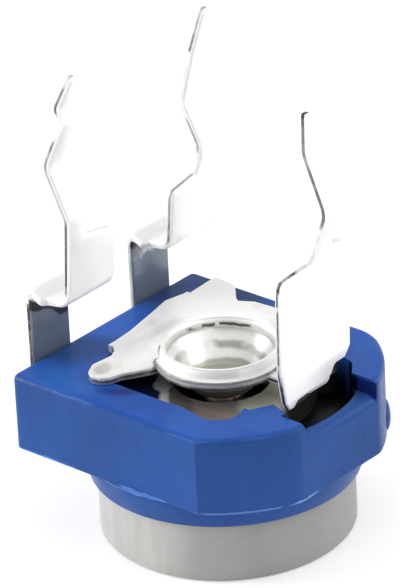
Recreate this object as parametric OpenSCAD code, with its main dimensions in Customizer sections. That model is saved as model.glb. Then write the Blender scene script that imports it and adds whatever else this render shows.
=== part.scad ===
// Top-adjust carbon trimmer potentiometer with three kinked snap-in legs.
// It lies on the outer face of its adjusting knob, legs up.
// Origin: centre of the knob's outer face, on the rotor axis.
// +Z runs along the rotor axis towards the legs. +X runs from the straight rear side,
// which carries the two end terminals, to the round front with the centre terminal.

/* [Knob] */
// Radius of the adjusting knob
knob_r = 3.2; // [2.9:0.05:3.4]
// Length of the knob that stands clear of the housing
knob_out = 1.65; // [1.2:0.05:2.4]
// How far the knob's inner face stands inside the main body
knob_in = 0.28; // [0.26:0.01:0.32]
// Chamfer round the knob's outer face
knob_chamfer = 0.1; // [0.05:0.05:0.2]
// Height of the boss that carries the wiper spring
boss_h = 0.35; // [0.25:0.05:0.5]
// Radius of that boss
boss_r = 2.05; // [1.8:0.05:2.1]
// Length of the cross-shaped driver slot
slot_len = 3.9; // [3:0.1:4.6]
// Width of the driver slot
slot_w = 0.75; // [0.5:0.05:1]
// Depth of the driver slot
slot_deep = 0.95; // [0.6:0.05:1.2]
// Running clearance of the knob in the housing, on the radius and along the axis
run_gap = 0.05; // [0.03:0.01:0.08]
// Reach of the snap lip into the knob's groove
snap_reach = 0.1; // [0.08:0.01:0.15]
// Total angle that the knob turns through
turn_angle = 210; // [180:5:240]
// Angular width of the stop lug on the knob
lug_angle = 20; // [14:1:30]
// Height of the stop lug
lug_h = 0.38; // [0.3:0.02:0.42]
// Radial width of the stop lug
lug_w = 0.55; // [0.4:0.05:0.6]

/* [Housing] */
// Width across the two flat sides
body_w = 6.9; // [6.8:0.05:7.6]
// Distance from the rotor axis to the straight rear side
rear_x = 3.85; // [3.7:0.05:4.3]
// Distance from the rotor axis to the flat front facet
front_x = 3.7; // [3.6:0.05:3.8]
// Radius of the round front
round_r = 4; // [3.9:0.05:4.3]
// Height of the main body
body_h = 2.05; // [1.95:0.05:2.6]
// Height of the round collar under the body
collar_h = 0.67; // [0.55:0.01:0.8]
// Wall of the collar at its lower edge
collar_wall = 0.13; // [0.1:0.01:0.25]
// How much wider the collar is at its top edge
collar_flare = 0.2; // [0.1:0.05:0.3]
// Thickness of the web between the knob and the pocket
web_h = 0.75; // [0.7:0.05:0.9]
// Radius of the wiper's round chamber in the web
chamber_r = 2.2; // [2.15:0.05:2.25]
// Radius of the pocket for the element board
pocket_r = 2.36; // [2.34:0.01:2.42]
// Radius of the pocket's front, between the ears
pocket_front = 2.58; // [2.5:0.01:2.6]
// Half width of the pocket at its two flats
pocket_flat = 2.35; // [2.32:0.01:2.38]
// Distance from the rotor axis to the pocket's rear wall
pocket_rear = 2.2; // [2.15:0.05:2.3]
// Radius of the two locating ears of the pocket
ear_r = 0.6; // [0.5:0.05:0.65]
// Distance from the rotor axis to each ear's centre
ear_out = 2.4; // [2.3:0.05:2.45]
// Angle of each ear from the front
ear_angle = 52; // [45:1:58]
// Half width of the front notch at its inner end
notch_in = 0.94; // [0.85:0.01:1.1]
// Half width of the front notch at the facet
notch_out = 1.3; // [1.15:0.05:1.45]
// Height of the low front wall over the pocket's floor
notch_sill = 0.55; // [0.4:0.05:0.7]
// Thickness of the low front wall
notch_wall = 0.38; // [0.3:0.02:0.45]

/* [Element] */
// Thickness of the element board
board_h = 0.5; // [0.4:0.05:0.6]
// Radius of the board's central hole
board_hole = 1.2; // [1.1:0.05:1.3]
// Gap round the board in its pocket
board_gap = 0.03; // [0.02:0.01:0.05]
// Mean radius of the carbon track
track_r = 1.85; // [1.8:0.05:1.9]
// Width of the carbon track
track_w = 0.5; // [0.4:0.05:0.6]
// Angle that the carbon track spans
track_angle = 236; // [228:2:240]
// Thickness of the printed layers
print_h = 0.04; // [0.03:0.01:0.05]

/* [Terminals] */
// Thickness of the terminal sheet
sheet = 0.22; // [0.18:0.01:0.25]
// Pitch of the two end legs across the part
leg_pitch = 5; // [4.8:0.1:5.2]
// Sideways shift of the three legs from the rotor axis
leg_shift = 0.33; // [0.2:0.01:0.4]
// Width of a leg
leg_w = 0.55; // [0.5:0.01:0.7]
// Width of a leg's tip
tip_w = 0.22; // [0.15:0.01:0.3]
// Height of the end legs' tips over the resting plane
leg_top = 12.35; // [11.8:0.05:13]
// Forward lean of the near leg's tip
lean_near = 0.32; // [0:0.01:0.5]
// Forward lean of the far leg's tip
lean_far = 0.16; // [0:0.01:0.5]
// Height of the centre leg's tip over the resting plane
centre_top = 11.8; // [11.4:0.05:13]
// Sideways swing of the end legs' kink
kink = 0.55; // [0.4:0.05:0.7]
// Width of the flat plate under an end leg
plate_w = 1.72; // [1.4:0.02:2]
// Height of the end plates' top edge over the body
plate_top = 3.33; // [3.1:0.01:3.5]
// Distance from the rotor axis to the end plates
plate_x = 2.65; // [2.6:0.01:2.8]
// Width of the strip that climbs the rear side
strip_w = 1.25; // [1.1:0.05:1.3]
// Pitch of the two strips
strip_pitch = 3.8; // [3.7:0.05:3.9]
// Height of the strips' crest over the body
crest_h = 1.8; // [1.6:0.05:2]
// Gap between the strips and the rear side
strip_gap = 0.03; // [0.02:0.01:0.06]
// Gap round a terminal where it passes through the housing
slot_gap = 0.02; // [0.01:0.01:0.03]
// Distance from the rotor axis to the centre terminal
centre_x = 2.91; // [2.85:0.01:2.95]
// Width of the centre terminal's upright plate
centre_w = 2.84; // [2.6:0.02:3]
// Height of the centre terminal's plate over the body
centre_h = 3.74; // [3.5:0.02:4]
// Width of the link from the collector to the upright plate
link_w = 0.7; // [0.5:0.05:0.8]

/* [Collector] */
// Radius of the collector's raised ring
ring_r = 1.68; // [1.64:0.01:1.8]
// Width of the ring's sloping top
ring_w = 0.28; // [0.22:0.01:0.34]
// Height of the raised ring over the sheet
ring_h = 0.37; // [0.2:0.01:0.4]
// Radius of the dish's floor
dish_r = 0.84; // [0.76:0.01:0.88]
// Depth of the dish's floor under the sheet's upper face
dish_deep = 0.6; // [0.5:0.01:0.64]
// Width of each retaining prong
prong_w = 0.45; // [0.3:0.05:0.5]
// Depth that each prong reaches into the rim
prong_deep = 0.8; // [0.5:0.05:0.9]

/* [Wiper] */
// Thickness of the wiper spring
spring_t = 0.12; // [0.1:0.01:0.14]
// Radius of the wiper spring's base
spring_r = 1.55; // [1.5:0.05:1.6]
// Width of each contact finger
finger_w = 0.36; // [0.3:0.02:0.4]
// Gap between the two contact fingers
finger_gap = 0.22; // [0.16:0.02:0.3]
// Radius of the two moulded pins that hold the spring
pin_r = 0.2; // [0.16:0.01:0.22]
// Distance from the rotor axis to each pin
pin_out = 1.2; // [1.15:0.01:1.25]
// Clearance round a pin, and at each sliding contact
touch_gap = 0.02; // [0.01:0.01:0.03]

/* [Hidden] */
$fn = 96;
bend_steps = 8;                              // straight pieces in each bend of the sheet
eps = 0.01;                                  // overshoot of a cut past the face it opens

body_z = knob_out + collar_h;                // underside of the main body
top_z = body_z + body_h;                     // face that the collector lies on
bore_r = knob_r + run_gap;
knob_h = body_z + knob_in;                   // inner face of the knob
web_z = knob_h + run_gap;
board_z = web_z + web_h;                     // floor of the pocket
spring_z = knob_h + boss_h;                  // seat of the wiper spring
lip_z = knob_out + 0.22;                     // lower face of the snap lip
lip_h = 0.2;
lip_r = knob_r - snap_reach;
lug_r1 = knob_r - 0.1;                       // outer radius of the stop lug
sheet_z = top_z + sheet / 2;                 // middle of the collector's sheet
tongue_z = board_z - print_h - sheet / 2;    // middle of an end terminal's tongue
strip_x = rear_x + strip_gap + sheet / 2;    // middle of a strip that climbs the rear side
tongue_in = 1.15;                            // where a tongue ends, from the rotor axis
plate_z = top_z + plate_top;
ring_lap = sheet / 2 - eps;                  // how far the flat plate runs in under the ring
plan = body_w / 6.9;                         // the collector's outline grows with the body
dish_z = top_z + sheet - dish_deep;          // upper face of the dish's floor

// ---- paths of bent sheet -------------------------------------------------

function unit(v) = v / norm(v);
function cross2(a, b) = a[0] * b[1] - a[1] * b[0];
function turn_of(a, b) = atan2(cross2(a, b), a * b);
function left_of(d) = [-d[1], d[0]];

// points of the arc of radius r that rounds the corner b between a and c
function round_corner(a, b, c, r, steps) =
    let (din = unit(b - a), dout = unit(c - b), turn = turn_of(din, dout))
    (r == 0 || abs(turn) < 0.01) ? [b] :
    let (side = turn > 0 ? 1 : -1,
         start = b - din * r * tan(abs(turn) / 2),
         centre = start + left_of(din) * r * side)
    [for (k = [0:steps])
        let (swing = turn * k / steps, arm = start - centre)
        centre + [arm[0] * cos(swing) - arm[1] * sin(swing),
                  arm[0] * sin(swing) + arm[1] * cos(swing)]];

// an open path given as [x, y, corner radius], with its corners rounded
function round_path(p, steps = bend_steps) = concat(
    [[p[0][0], p[0][1]]],
    [for (i = [1:len(p) - 2])
        for (q = round_corner([p[i-1][0], p[i-1][1]], [p[i][0], p[i][1]], [p[i+1][0], p[i+1][1]],
                              p[i][2], steps)) q],
    [[p[len(p)-1][0], p[len(p)-1][1]]]);

// a closed outline given as [x, y, corner radius], with its corners rounded
function round_outline(p, steps = bend_steps) =
    [for (i = [0:len(p) - 1])
        let (a = p[(i + len(p) - 1) % len(p)], b = p[i], c = p[(i + 1) % len(p)])
        for (q = round_corner([a[0], a[1]], [b[0], b[1]], [c[0], c[1]], b[2], steps)) q];

// the point at distance s to the left of a path's i-th point
function beside(path, i, s) =
    let (last = len(path) - 1,
         din = unit(i == 0 ? path[1] - path[0] : path[i] - path[i-1]),
         dout = unit(i == last ? path[last] - path[last-1] : path[i+1] - path[i]),
         mid = unit(left_of(din) + left_of(dout)))
    path[i] + mid * s / (mid * left_of(din));

// outline of a sheet of thickness t whose middle follows the path
function ribbon(path, t) = concat(
    [for (i = [0:len(path) - 1]) beside(path, i, t / 2)],
    [for (i = [len(path) - 1:-1:0]) beside(path, i, -t / 2)]);

// a sheet that is bent along a path in X and Z, and spans from y0 to y1
module bent_sheet(path, t, y0, y1)
    translate([0, y1, 0]) rotate([90, 0, 0]) linear_extrude(y1 - y0) polygon(ribbon(path, t));

// a flat upright sheet with its outline in Y and Z and its middle at x
module upright_sheet(x, t, outline)
    translate([x - t / 2, 0, 0]) rotate([90, 0, 90]) linear_extrude(t) polygon(outline);

// a sector of a ring, centred on the front
module ring_sector(r0, r1, angle, h)
    rotate([0, 0, -angle / 2]) rotate_extrude(angle = angle) translate([r0, 0]) square([r1 - r0, h]);

// ---- housing ---------------------------------------------------------------

module body_outline() intersection() {
    union() {
        circle(r = round_r);
        translate([-rear_x, -body_w / 2]) square([rear_x, body_w]);
    }
    translate([-rear_x, -body_w / 2]) square([rear_x + front_x, body_w]);
}

// outline of the board's pocket, or of the board itself when it is drawn gap smaller
module pocket_outline(gap) {
    intersection() {
        circle(r = pocket_r - gap);
        translate([-pocket_rear + gap, -pocket_flat + gap])
            square([pocket_rear + pocket_r, 2 * (pocket_flat - gap)]);
    }
    translate([-pocket_rear + gap, -pocket_flat + gap])
        square([pocket_rear - gap, 2 * (pocket_flat - gap)]);
    for (flip = [0, 1]) mirror([0, flip]) rotate(ear_angle) {
        translate([ear_out, 0]) circle(r = ear_r - gap, $fn = 48);
        // straight run that leads from the pocket's round side into the ear
        polygon([[0, 0], [ear_out, 0], [ear_out, 0] + (ear_r - gap - eps) * [cos(59), sin(59)],
                 (pocket_r - gap - eps) * [cos(20), sin(20)]]);
    }
}

// hollow in front of the board, where the link of the centre terminal crosses the rim
module front_notch() {
    inner_x = front_x - notch_wall;
    translate([0, 0, board_z]) linear_extrude(body_h) intersection() {
        circle(r = pocket_front);
        translate([0, -1.5]) square([pocket_front, 3]);
    }
    translate([0, 0, board_z]) linear_extrude(body_h) polygon([
        [0, -notch_in], [pocket_front, -notch_in], [inner_x, -notch_out],
        [inner_x, notch_out], [pocket_front, notch_in], [0, notch_in]]);
    translate([inner_x - eps, -notch_out, board_z + notch_sill])
        cube([notch_wall + 1, 2 * notch_out, body_h]);
}

// the way in for each end terminal, below the board
module terminal_ways() for (side = [-1, 1]) {
    w = strip_w + 2 * slot_gap;
    translate([-rear_x - 1, side * strip_pitch / 2 - w / 2, tongue_z - sheet / 2 - slot_gap])
        cube([rear_x + 1 - tongue_in + slot_gap, w, sheet + 2 * slot_gap]);
    translate([-pocket_rear, side * strip_pitch / 2 - w / 2, tongue_z])
        cube([pocket_rear - tongue_in + slot_gap, w, board_z - tongue_z + eps]);
}

module pad_ways() for (side = [-1, 1])
    translate([0, 0, board_z - print_h - slot_gap]) linear_extrude(print_h + slot_gap + eps)
        end_pad_outline(side, slot_gap);

module housing() color([0.16, 0.33, 0.68]) difference() {
    union() {
        translate([0, 0, body_z]) linear_extrude(body_h) body_outline();
        translate([0, 0, knob_out])
            cylinder(r1 = bore_r + collar_wall, r2 = bore_r + collar_wall + collar_flare, h = collar_h);
    }
    // bore for the knob, below and above the snap lip
    translate([0, 0, knob_out - 1]) cylinder(r = bore_r, h = lip_z - knob_out + 1);
    translate([0, 0, lip_z - eps]) cylinder(r = lip_r, h = lip_h + 2 * eps);
    translate([0, 0, lip_z + lip_h]) cylinder(r = bore_r, h = web_z - lip_z - lip_h);
    // chamber for the wiper, and the arc that the stop lug sweeps
    translate([0, 0, web_z - eps]) cylinder(r = chamber_r, h = web_h + 2 * eps);
    translate([0, 0, web_z - eps]) ring_sector(
        lug_r1 - lug_w - run_gap, lug_r1 + run_gap, turn_angle + lug_angle + 1, lug_h + eps);
    // pocket for the board, open to the top
    translate([0, 0, board_z]) linear_extrude(body_h) pocket_outline(0);
    front_notch();
    terminal_ways();
    pad_ways();
    prongs(slot_gap);
}

// ---- rotor ------------------------------------------------------------------

// cross-shaped slot, with an arrow head on the arm that points to the contact fingers
module driver_slot() translate([0, 0, -1]) linear_extrude(slot_deep + 1) {
    square([slot_len, slot_w], center = true);
    square([slot_w, slot_len], center = true);
    translate([slot_len / 2 - slot_w, 0]) polygon([[0, -slot_w], [slot_w * 1.4, 0], [0, slot_w]]);
}

module rotor_knob() color([0.86, 0.86, 0.83]) difference() {
    union() {
        rotate_extrude() polygon([
            [0, 0], [knob_r - knob_chamfer, 0], [knob_r, knob_chamfer],
            [knob_r, lip_z - run_gap], [lip_r - run_gap, lip_z - run_gap],
            [lip_r - run_gap, lip_z + lip_h + run_gap], [knob_r, lip_z + lip_h + run_gap],
            [knob_r, knob_h], [boss_r, knob_h], [boss_r, spring_z], [0, spring_z]]);
        translate([0, 0, knob_h - eps]) ring_sector(lug_r1 - lug_w, lug_r1, lug_angle, lug_h - run_gap + eps);
        spring_pins(pin_r, spring_t + 0.1);
    }
    driver_slot();
}

module spring_pins(r, h) for (side = [-1, 1])
    rotate([0, 0, side * 135]) translate([pin_out, 0, spring_z - eps]) cylinder(r = r, h = h + eps, $fn = 32);

module wiper_spring() color([0.8, 0.72, 0.5]) {
    mid_z = spring_z + spring_t / 2;
    dome_z = dish_z - sheet - touch_gap - spring_t / 2;
    contact_z = board_z - print_h - touch_gap - spring_t / 2;
    difference() {
        rotate_extrude() polygon(ribbon(round_path([
            [spring_r, mid_z], [0.82, mid_z, 0.12], [0.5, dome_z, 0.12], [0, dome_z]]), spring_t));
        spring_pins(pin_r + touch_gap, 1);
    }
    for (side = [-1, 1])
        bent_sheet(round_path([
            [spring_r - 0.3, mid_z], [spring_r - 0.05, mid_z, 0.1],
            [track_r, contact_z, 0.1], [track_r + track_w / 2, contact_z - 0.1]]), spring_t,
            side * (finger_gap + finger_w) / 2 - finger_w / 2,
            side * (finger_gap + finger_w) / 2 + finger_w / 2);
}

// ---- element ----------------------------------------------------------------

module element_board() color([0.45, 0.33, 0.2]) difference() {
    translate([0, 0, board_z]) linear_extrude(board_h) pocket_outline(board_gap);
    translate([0, 0, board_z - 1]) cylinder(r = board_hole, h = board_h + 2);
}

module carbon_track() color([0.09, 0.09, 0.1]) translate([0, 0, board_z - print_h])
    ring_sector(track_r - track_w / 2, track_r + track_w / 2, track_angle, print_h);

// the pad runs from the end of the track to the edge of the board
module end_pad_outline(side, gap) difference() {
    translate([-pocket_rear + board_gap - gap, side > 0 ? tongue_in - gap : -pocket_flat + board_gap - gap])
        square([pocket_rear - board_gap - 0.45 + 2 * gap, pocket_flat - board_gap - tongue_in + 2 * gap]);
    rotate(-track_angle / 2) pie(4, track_angle - 2 * gap);
    circle(r = board_hole + 0.15);
}

// a filled sector that starts on +X
module pie(r, angle) polygon(concat([[0, 0]],
    [for (k = [0:24]) r * [cos(angle * k / 24), sin(angle * k / 24)]]));

module end_pad(side) color([0.75, 0.75, 0.74]) translate([0, 0, board_z - print_h])
    linear_extrude(print_h) end_pad_outline(side, 0);

module end_pad_near() end_pad(-1);
module end_pad_far() end_pad(1);

// ---- terminals --------------------------------------------------------------

// side is -1 for the terminal on the -Y side and 1 for the one on the +Y side
module end_terminal(side) color([0.9, 0.9, 0.88]) {
    strip_y = side * strip_pitch / 2;
    leg_y = leg_shift + side * leg_pitch / 2;
    outer_y = leg_y + side * leg_w / 2;              // edge that the plate and the leg share
    inner_y = outer_y - side * plate_w;
    low_y = min(outer_y, inner_y);
    crest_z = top_z + crest_h;
    trough_z = crest_z - 0.28;
    base_z = trough_z + 0.35;
    trough_x = -(strip_x + plate_x) / 2;
    climb = [[-tongue_in, tongue_z], [-strip_x, tongue_z, 0.16], [-strip_x, crest_z, 0.13],
             [-strip_x + 0.29, trough_z, 0.2], [-plate_x - 0.26, trough_z, 0.28],
             [-plate_x, base_z, 0.28], [-plate_x, base_z + 0.4]];
    rise = [[trough_x, trough_z], climb[4], climb[5], climb[6]];
    bent_sheet(round_path(climb), sheet, strip_y - strip_w / 2, strip_y + strip_w / 2);
    bent_sheet(round_path(rise), sheet, low_y, low_y + plate_w);
    upright_sheet(-plate_x, sheet, round_outline([
        [outer_y, base_z + 0.15, 0], [outer_y, plate_z + 0.2, 0], [outer_y - side * leg_w, plate_z + 0.2, 0],
        [outer_y - side * (leg_w + 0.12), plate_z, 0.12], [inner_y, plate_z - 0.15, 0.22],
        [inner_y, base_z + 0.15, 0]]));
    end_leg(leg_y, side < 0 ? lean_near : lean_far);
}

// kinked leg that grows from the plate's top edge and narrows to its tip
module end_leg(leg_y, lean) {
    span = leg_top - plate_z;
    leg([[-plate_x, plate_z - 0.5], [-plate_x, plate_z + span * 0.16, 0.5],
         [-plate_x - kink, plate_z + span * 0.41, 0.6], [-plate_x + 0.08, plate_z + span * 0.65, 0.3],
         [-plate_x - 0.04, plate_z + span * 0.79, 0.4], [-plate_x + lean, leg_top]], leg_y, leg_w);
}

// a bent leg of width w; its last quarter narrows to a rounded tip
module leg(path, leg_y, w) {
    foot_z = path[0][1];
    tip_z = path[len(path) - 1][1];
    narrow_z = tip_z - (tip_z - foot_z) * 0.5;
    intersection() {
        bent_sheet(round_path(path), sheet, leg_y - w / 2, leg_y + w / 2);
        upright_sheet(0, 12, round_outline([
            [leg_y - w, foot_z - 1, 0], [leg_y + w, foot_z - 1, 0], [leg_y + w, narrow_z, 0],
            [leg_y + w / 2, narrow_z, 0], [leg_y + w * 0.34, tip_z - 0.9, 0.5],
            [leg_y + tip_w / 2, tip_z, 0.08], [leg_y - tip_w / 2, tip_z, 0.08],
            [leg_y - w * 0.34, tip_z - 0.9, 0.5], [leg_y - w / 2, narrow_z, 0], [leg_y - w, narrow_z, 0]], 4));
    }
}

module end_terminal_near() end_terminal(-1);
module end_terminal_far() end_terminal(1);

// flat outline of the collector: arms to both sides of the pocket and a straight rear edge
module collector_outline() {
    polygon(round_outline(plan * [
        [-2.75, -0.4, 0.6], [-2.52, -1.15, 0.06], [-2.3, -1.35, 0.06], [-2.1, -2.45, 0.3],
        [-1.85, -2.96, 0.26], [-1.33, -2.88, 0.2], [-1.28, -2.5, 0.3], [-1.05, -2.15, 0.3],
        [-0.9, -1.5, 0.05], [-0.4, 0, 0],
        [1.55, 0.6, 0], [1.35, 1.6, 0.8], [0.3, 2.72, 0.9], [-1.1, 2.74, 0.3],
        [-1.6, 2.5, 0.06], [-2.14, 3.16, 0.04], [-2.8, 3.1, 0.04], [-2.8, 2.2, 0.1], [-2.92, 1.6, 0.4]], 6));
    circle(r = ring_r);
}

// prongs folded down from the collector's rear edge into the rim
module prongs(gap) for (p = plan * [[-2.55, -0.95], [-2.82, 1.95]])
    translate([p[0] - sheet / 2 - gap, p[1] - prong_w / 2 - gap, top_z - prong_deep - gap])
        cube([sheet + 2 * gap, prong_w + 2 * gap, prong_deep + sheet + gap]);

// raised ring and dish, as a half section
module dish_section() {
    face_z = top_z + sheet;
    polygon(round_outline([
        [0, dish_z, 0], [dish_r, dish_z, 0.2], [ring_r - ring_w - 0.05, face_z + 0.06, 0.06],
        [ring_r - ring_w, face_z + ring_h - 0.12, 0.06], [ring_r - 0.04, face_z + ring_h, 0.08],
        [ring_r, face_z, 0], [ring_r, top_z, 0], [ring_r - ring_w, top_z, 0.05],
        [dish_r + 0.05, dish_z - sheet, 0.2], [0, dish_z - sheet, 0]], 5));
}

module centre_terminal() color([0.9, 0.9, 0.88]) {
    difference() {
        union() {
            translate([0, 0, top_z]) linear_extrude(sheet) collector_outline();
            prongs(0);
        }
        translate([0, 0, top_z - sheet]) cylinder(r = ring_r - ring_lap, h = 3 * sheet);
    }
    rotate_extrude() dish_section();
    link_y = leg_shift - 0.13;
    bent_sheet(round_path([[ring_r - 0.08, sheet_z], [centre_x, sheet_z, 0.25], [centre_x, sheet_z + link_w]]),
        sheet, link_y - link_w / 2, link_y + link_w / 2);
    upright_sheet(centre_x, sheet, round_outline([
        [-centre_w / 2, top_z + 1.1, 0.3], [-1.08, top_z + 0.02, 0.2], [link_y, top_z + 0.02, 0.1],
        [0.62, top_z + 0.5, 0.06], [1.12, top_z + 0.5, 0.2], [centre_w / 2, top_z + 1.1, 0.3],
        [centre_w / 2, top_z + centre_h, 0.34], [-centre_w / 2, top_z + centre_h, 0.14]]));
    centre_leg();
}

module centre_leg() {
    base_z = top_z + centre_h;
    span = centre_top - base_z;
    leg([[centre_x, base_z - 0.4], [centre_x, base_z, 0.4], [centre_x + 0.6, base_z + span * 0.3, 0.5],
         [centre_x - 0.04, base_z + span * 0.74, 0.6], [centre_x - 0.1, centre_top]], leg_shift, leg_w);
}

housing();
rotor_knob();
wiper_spring();
element_board();
carbon_track();
end_pad_near();
end_pad_far();
end_terminal_near();
end_terminal_far();
centre_terminal();
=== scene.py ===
"""Trimmer potentiometer with a moulded housing, a round adjusting knob and three kinked legs."""

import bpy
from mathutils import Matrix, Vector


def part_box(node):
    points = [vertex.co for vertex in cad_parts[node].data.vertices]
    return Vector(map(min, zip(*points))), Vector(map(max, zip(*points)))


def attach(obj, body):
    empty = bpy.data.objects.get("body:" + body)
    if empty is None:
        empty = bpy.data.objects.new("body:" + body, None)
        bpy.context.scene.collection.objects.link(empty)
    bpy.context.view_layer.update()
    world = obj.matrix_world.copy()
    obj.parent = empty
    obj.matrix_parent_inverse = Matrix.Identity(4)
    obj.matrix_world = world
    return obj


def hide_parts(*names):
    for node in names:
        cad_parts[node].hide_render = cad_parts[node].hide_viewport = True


bl_info = {
    "name": "Trimmer potentiometer",
    "version": (1, 0, 0),
    "blender": (4, 5, 0),
    "location": "3D View > Sidebar > Trimmer",
    "description": "Builds the visible pieces, finishes and stage of a small trimmer potentiometer",
    "category": "Add Mesh",
}

import math

import bmesh
import bpy
from bpy.props import FloatProperty, FloatVectorProperty, PointerProperty
from mathutils import Matrix, Vector

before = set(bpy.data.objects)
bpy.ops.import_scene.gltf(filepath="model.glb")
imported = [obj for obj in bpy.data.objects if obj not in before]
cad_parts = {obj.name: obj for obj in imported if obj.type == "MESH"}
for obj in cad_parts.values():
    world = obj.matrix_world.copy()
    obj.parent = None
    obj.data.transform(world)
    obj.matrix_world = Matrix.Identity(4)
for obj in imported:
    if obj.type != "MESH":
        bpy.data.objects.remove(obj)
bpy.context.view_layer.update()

MM = 0.001                      # pieces are drawn in millimetres and scaled to metres once finished


def corner(node, which):
    """Lowest (0) or highest (1) corner of a CAD node, in millimetres."""
    return [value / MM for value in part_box(node)[which]]


HOUSING_LOW, HOUSING_HIGH = corner("housing", 0), corner("housing", 1)
KNOB_LOW, KNOB_HIGH = corner("rotor_knob", 0), corner("rotor_knob", 1)
BOARD_LOW, NEAR_LOW = corner("element_board", 0), corner("end_terminal_near", 0)

STRIP_SHIFT = 0.06              # how far the two strips sit off the middle in Y


# ---------------------------------------------------------------- settings

def length(name, description, default, low=0.0, high=20.0):
    """A size in millimetres, kept as a length in metres."""
    return FloatProperty(name=name, description=description, default=default * MM, min=low * MM,
                         max=high * MM, subtype="DISTANCE", unit="LENGTH", precision=5)


def colour(name, description, default):
    """A colour in linear light."""
    return FloatVectorProperty(name=name, description=description, default=default, size=3, min=0.0,
                               max=1.0, subtype="COLOR")


def amount(name, description, default, low=0.0, high=1.0):
    """A plain number."""
    return FloatProperty(name=name, description=description, default=default, min=low, max=high)


class HousingSettings(bpy.types.PropertyGroup):
    width: length("Width", "Width across the two flat sides", 6.9)
    round_radius: length("Round front", "Radius of the round front", 4.0)
    collar_height: length("Collar height", "Height of the round collar", 0.67)
    collar_flare: length("Collar flare", "How much wider the collar is at its top edge", 0.2)
    bore_radius: length("Bore", "Radius of the bore for the knob", KNOB_HIGH[0] + 0.05)
    pocket_radius: length("Pocket", "Radius of the pocket for the board", 2.36)
    pocket_flat: length("Pocket flats", "Half width of the pocket at its flats", 2.35)
    pocket_rear: length("Pocket rear", "Distance from the axis to the pocket's rear wall", 2.2)
    pocket_front: length("Pocket front", "Radius of the hollow in front of the board", 2.58)
    ear_radius: length("Ear", "Radius of the pocket's ears", 0.6)
    ear_distance: length("Ear distance", "Distance from the axis to an ear", 2.4)
    notch_inner: length("Notch, inner", "Half width of the front notch at the pocket", 0.94)
    notch_outer: length("Notch, outer", "Half width of the front notch at the facet", 1.3)
    sill_height: length("Sill", "Height of the low front wall over the pocket's floor", 0.55)
    rim_radius: length("Rim radius", "Rounding of the housing's outer top rim and rear corners", 0.17)
    facet_radius: length("Facet radius", "Rounding between the round front and the facet", 0.5)
    edge_radius: length("Edge radius", "Rounding of the other moulded edges", 0.06)
    gate_angle: amount("Gate angle", "Direction of the gate's bump from the X axis", 42.0, 0.0, 360.0)
    tone: colour("Colour", "Colour of the housing", (0.018, 0.073, 0.280))


class KnobSettings(bpy.types.PropertyGroup):
    chamfer: length("Chamfer", "Chamfer round the knob's face", 0.1)
    slot_length: length("Slot length", "Length of the driver slot", 3.9)
    slot_width: length("Slot width", "Width of the driver slot", 0.75)
    slot_depth: length("Slot depth", "Depth of the driver slot", 0.95)
    edge_radius: length("Edge radius", "Rounding of the moulded edges", 0.05)
    tone: colour("Colour", "Colour of the knob", (0.54, 0.54, 0.515))


class SheetSettings(bpy.types.PropertyGroup):
    thickness: length("Thickness", "Thickness of the terminal sheet", 0.22)
    edge_radius: length("Edge radius", "Rounding of the sheared edges", 0.07)
    leg_width: length("Leg width", "Width of a leg", 0.55)
    tip_width: length("Tip width", "Width of a leg's tip", 0.22)
    plate_top: length("Plate top", "Height of the end plates' top edge over the housing", 3.5)
    strip_width: length("Strip width", "Width of the strip that climbs the rear side", 1.37)
    strip_pitch: length("Strip pitch", "Pitch of the two strips", 3.8)
    tone: colour("Sheet colour", "Colour of the tinned sheet", (0.97, 0.97, 0.965))
    # colour of the painted shade low on the strips' inner side
    strip_shade_tone: colour("Dull colour", "Colour of the dull film low on the strips", (0.17, 0.20, 0.255))
    edge_tone: colour("Cut edge colour", "Colour of the sheared edges", (0.30, 0.30, 0.30))


class CollectorSettings(bpy.types.PropertyGroup):
    ring_radius: length("Ring radius", "Outer radius of the raised ring", 1.65)
    ring_width: length("Ring width", "Width of the ring's rounded top", 0.28)
    ring_height: length("Ring height", "Height of the ring over the sheet", 0.33)
    dish_radius: length("Dish radius", "Radius of the dish's floor", 0.78)
    dish_depth: length("Dish depth", "Depth of the dish's floor", 0.66)
    link_width: length("Link width", "Width of the link to the upright plate", 0.7)
    tone: colour("Collector colour", "Colour of the collector plate", (0.90, 0.90, 0.88))
    # the dish's floor, painted dark as shade
    floor_shade_tone: colour("Dish floor colour", "Colour of the dish's floor", (0.42, 0.42, 0.36))


class BoardSettings(bpy.types.PropertyGroup):
    tone: colour("Board colour", "Colour of the laminate board", (0.27, 0.23, 0.20))
    # colour of the paler band across the board
    pale_tone: colour("Pale board colour", "Colour of the board's scraped areas", (0.52, 0.52, 0.44))
    carbon_tone: colour("Track colour", "Colour of the carbon track", (0.018, 0.018, 0.02))
    silver_tone: colour("Pad colour", "Colour of the printed pads", (0.62, 0.62, 0.60))
    spring_tone: colour("Spring colour", "Colour of the wiper spring", (0.20, 0.16, 0.12))


class StageSettings(bpy.types.PropertyGroup):
    azimuth: FloatProperty(name="Azimuth", description="Direction that the camera looks from",
                           default=math.radians(41.3464), subtype="ANGLE", unit="ROTATION")
    elevation: FloatProperty(name="Elevation", description="Height of the camera over the horizon",
                             default=math.radians(26.9002), subtype="ANGLE", unit="ROTATION")
    roll: FloatProperty(name="Roll", description="Tilt of the camera about its line of sight",
                        default=math.radians(-2.9003), subtype="ANGLE", unit="ROTATION")
    distance: length("Distance", "Distance from the camera to the knob", 124.433, 10.0, 1000.0)
    aside: length("Aside", "Camera offset to its right", -0.7210, -50.0, 50.0)
    above: length("Above", "Camera offset to its top", 5.5696, -50.0, 50.0)
    lens: FloatProperty(name="Lens", description="Focal length on a 36 mm sensor", default=306.12,
                        min=1.0, subtype="DISTANCE_CAMERA", unit="CAMERA")
    surround: amount("Surround light", "Strength of the even light from all round", 0.42, 0.0, 3.0)
    key: amount("Key light", "Power of the left lamp in watts", 1.15, 0.0, 20.0)
    fill: amount("Fill light", "Power of the right lamp in watts", 0.48, 0.0, 20.0)
    top: amount("Top light", "Power of the top lamp in watts", 0.1, 0.0, 20.0)


# ---------------------------------------------------------------- outlines

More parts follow.
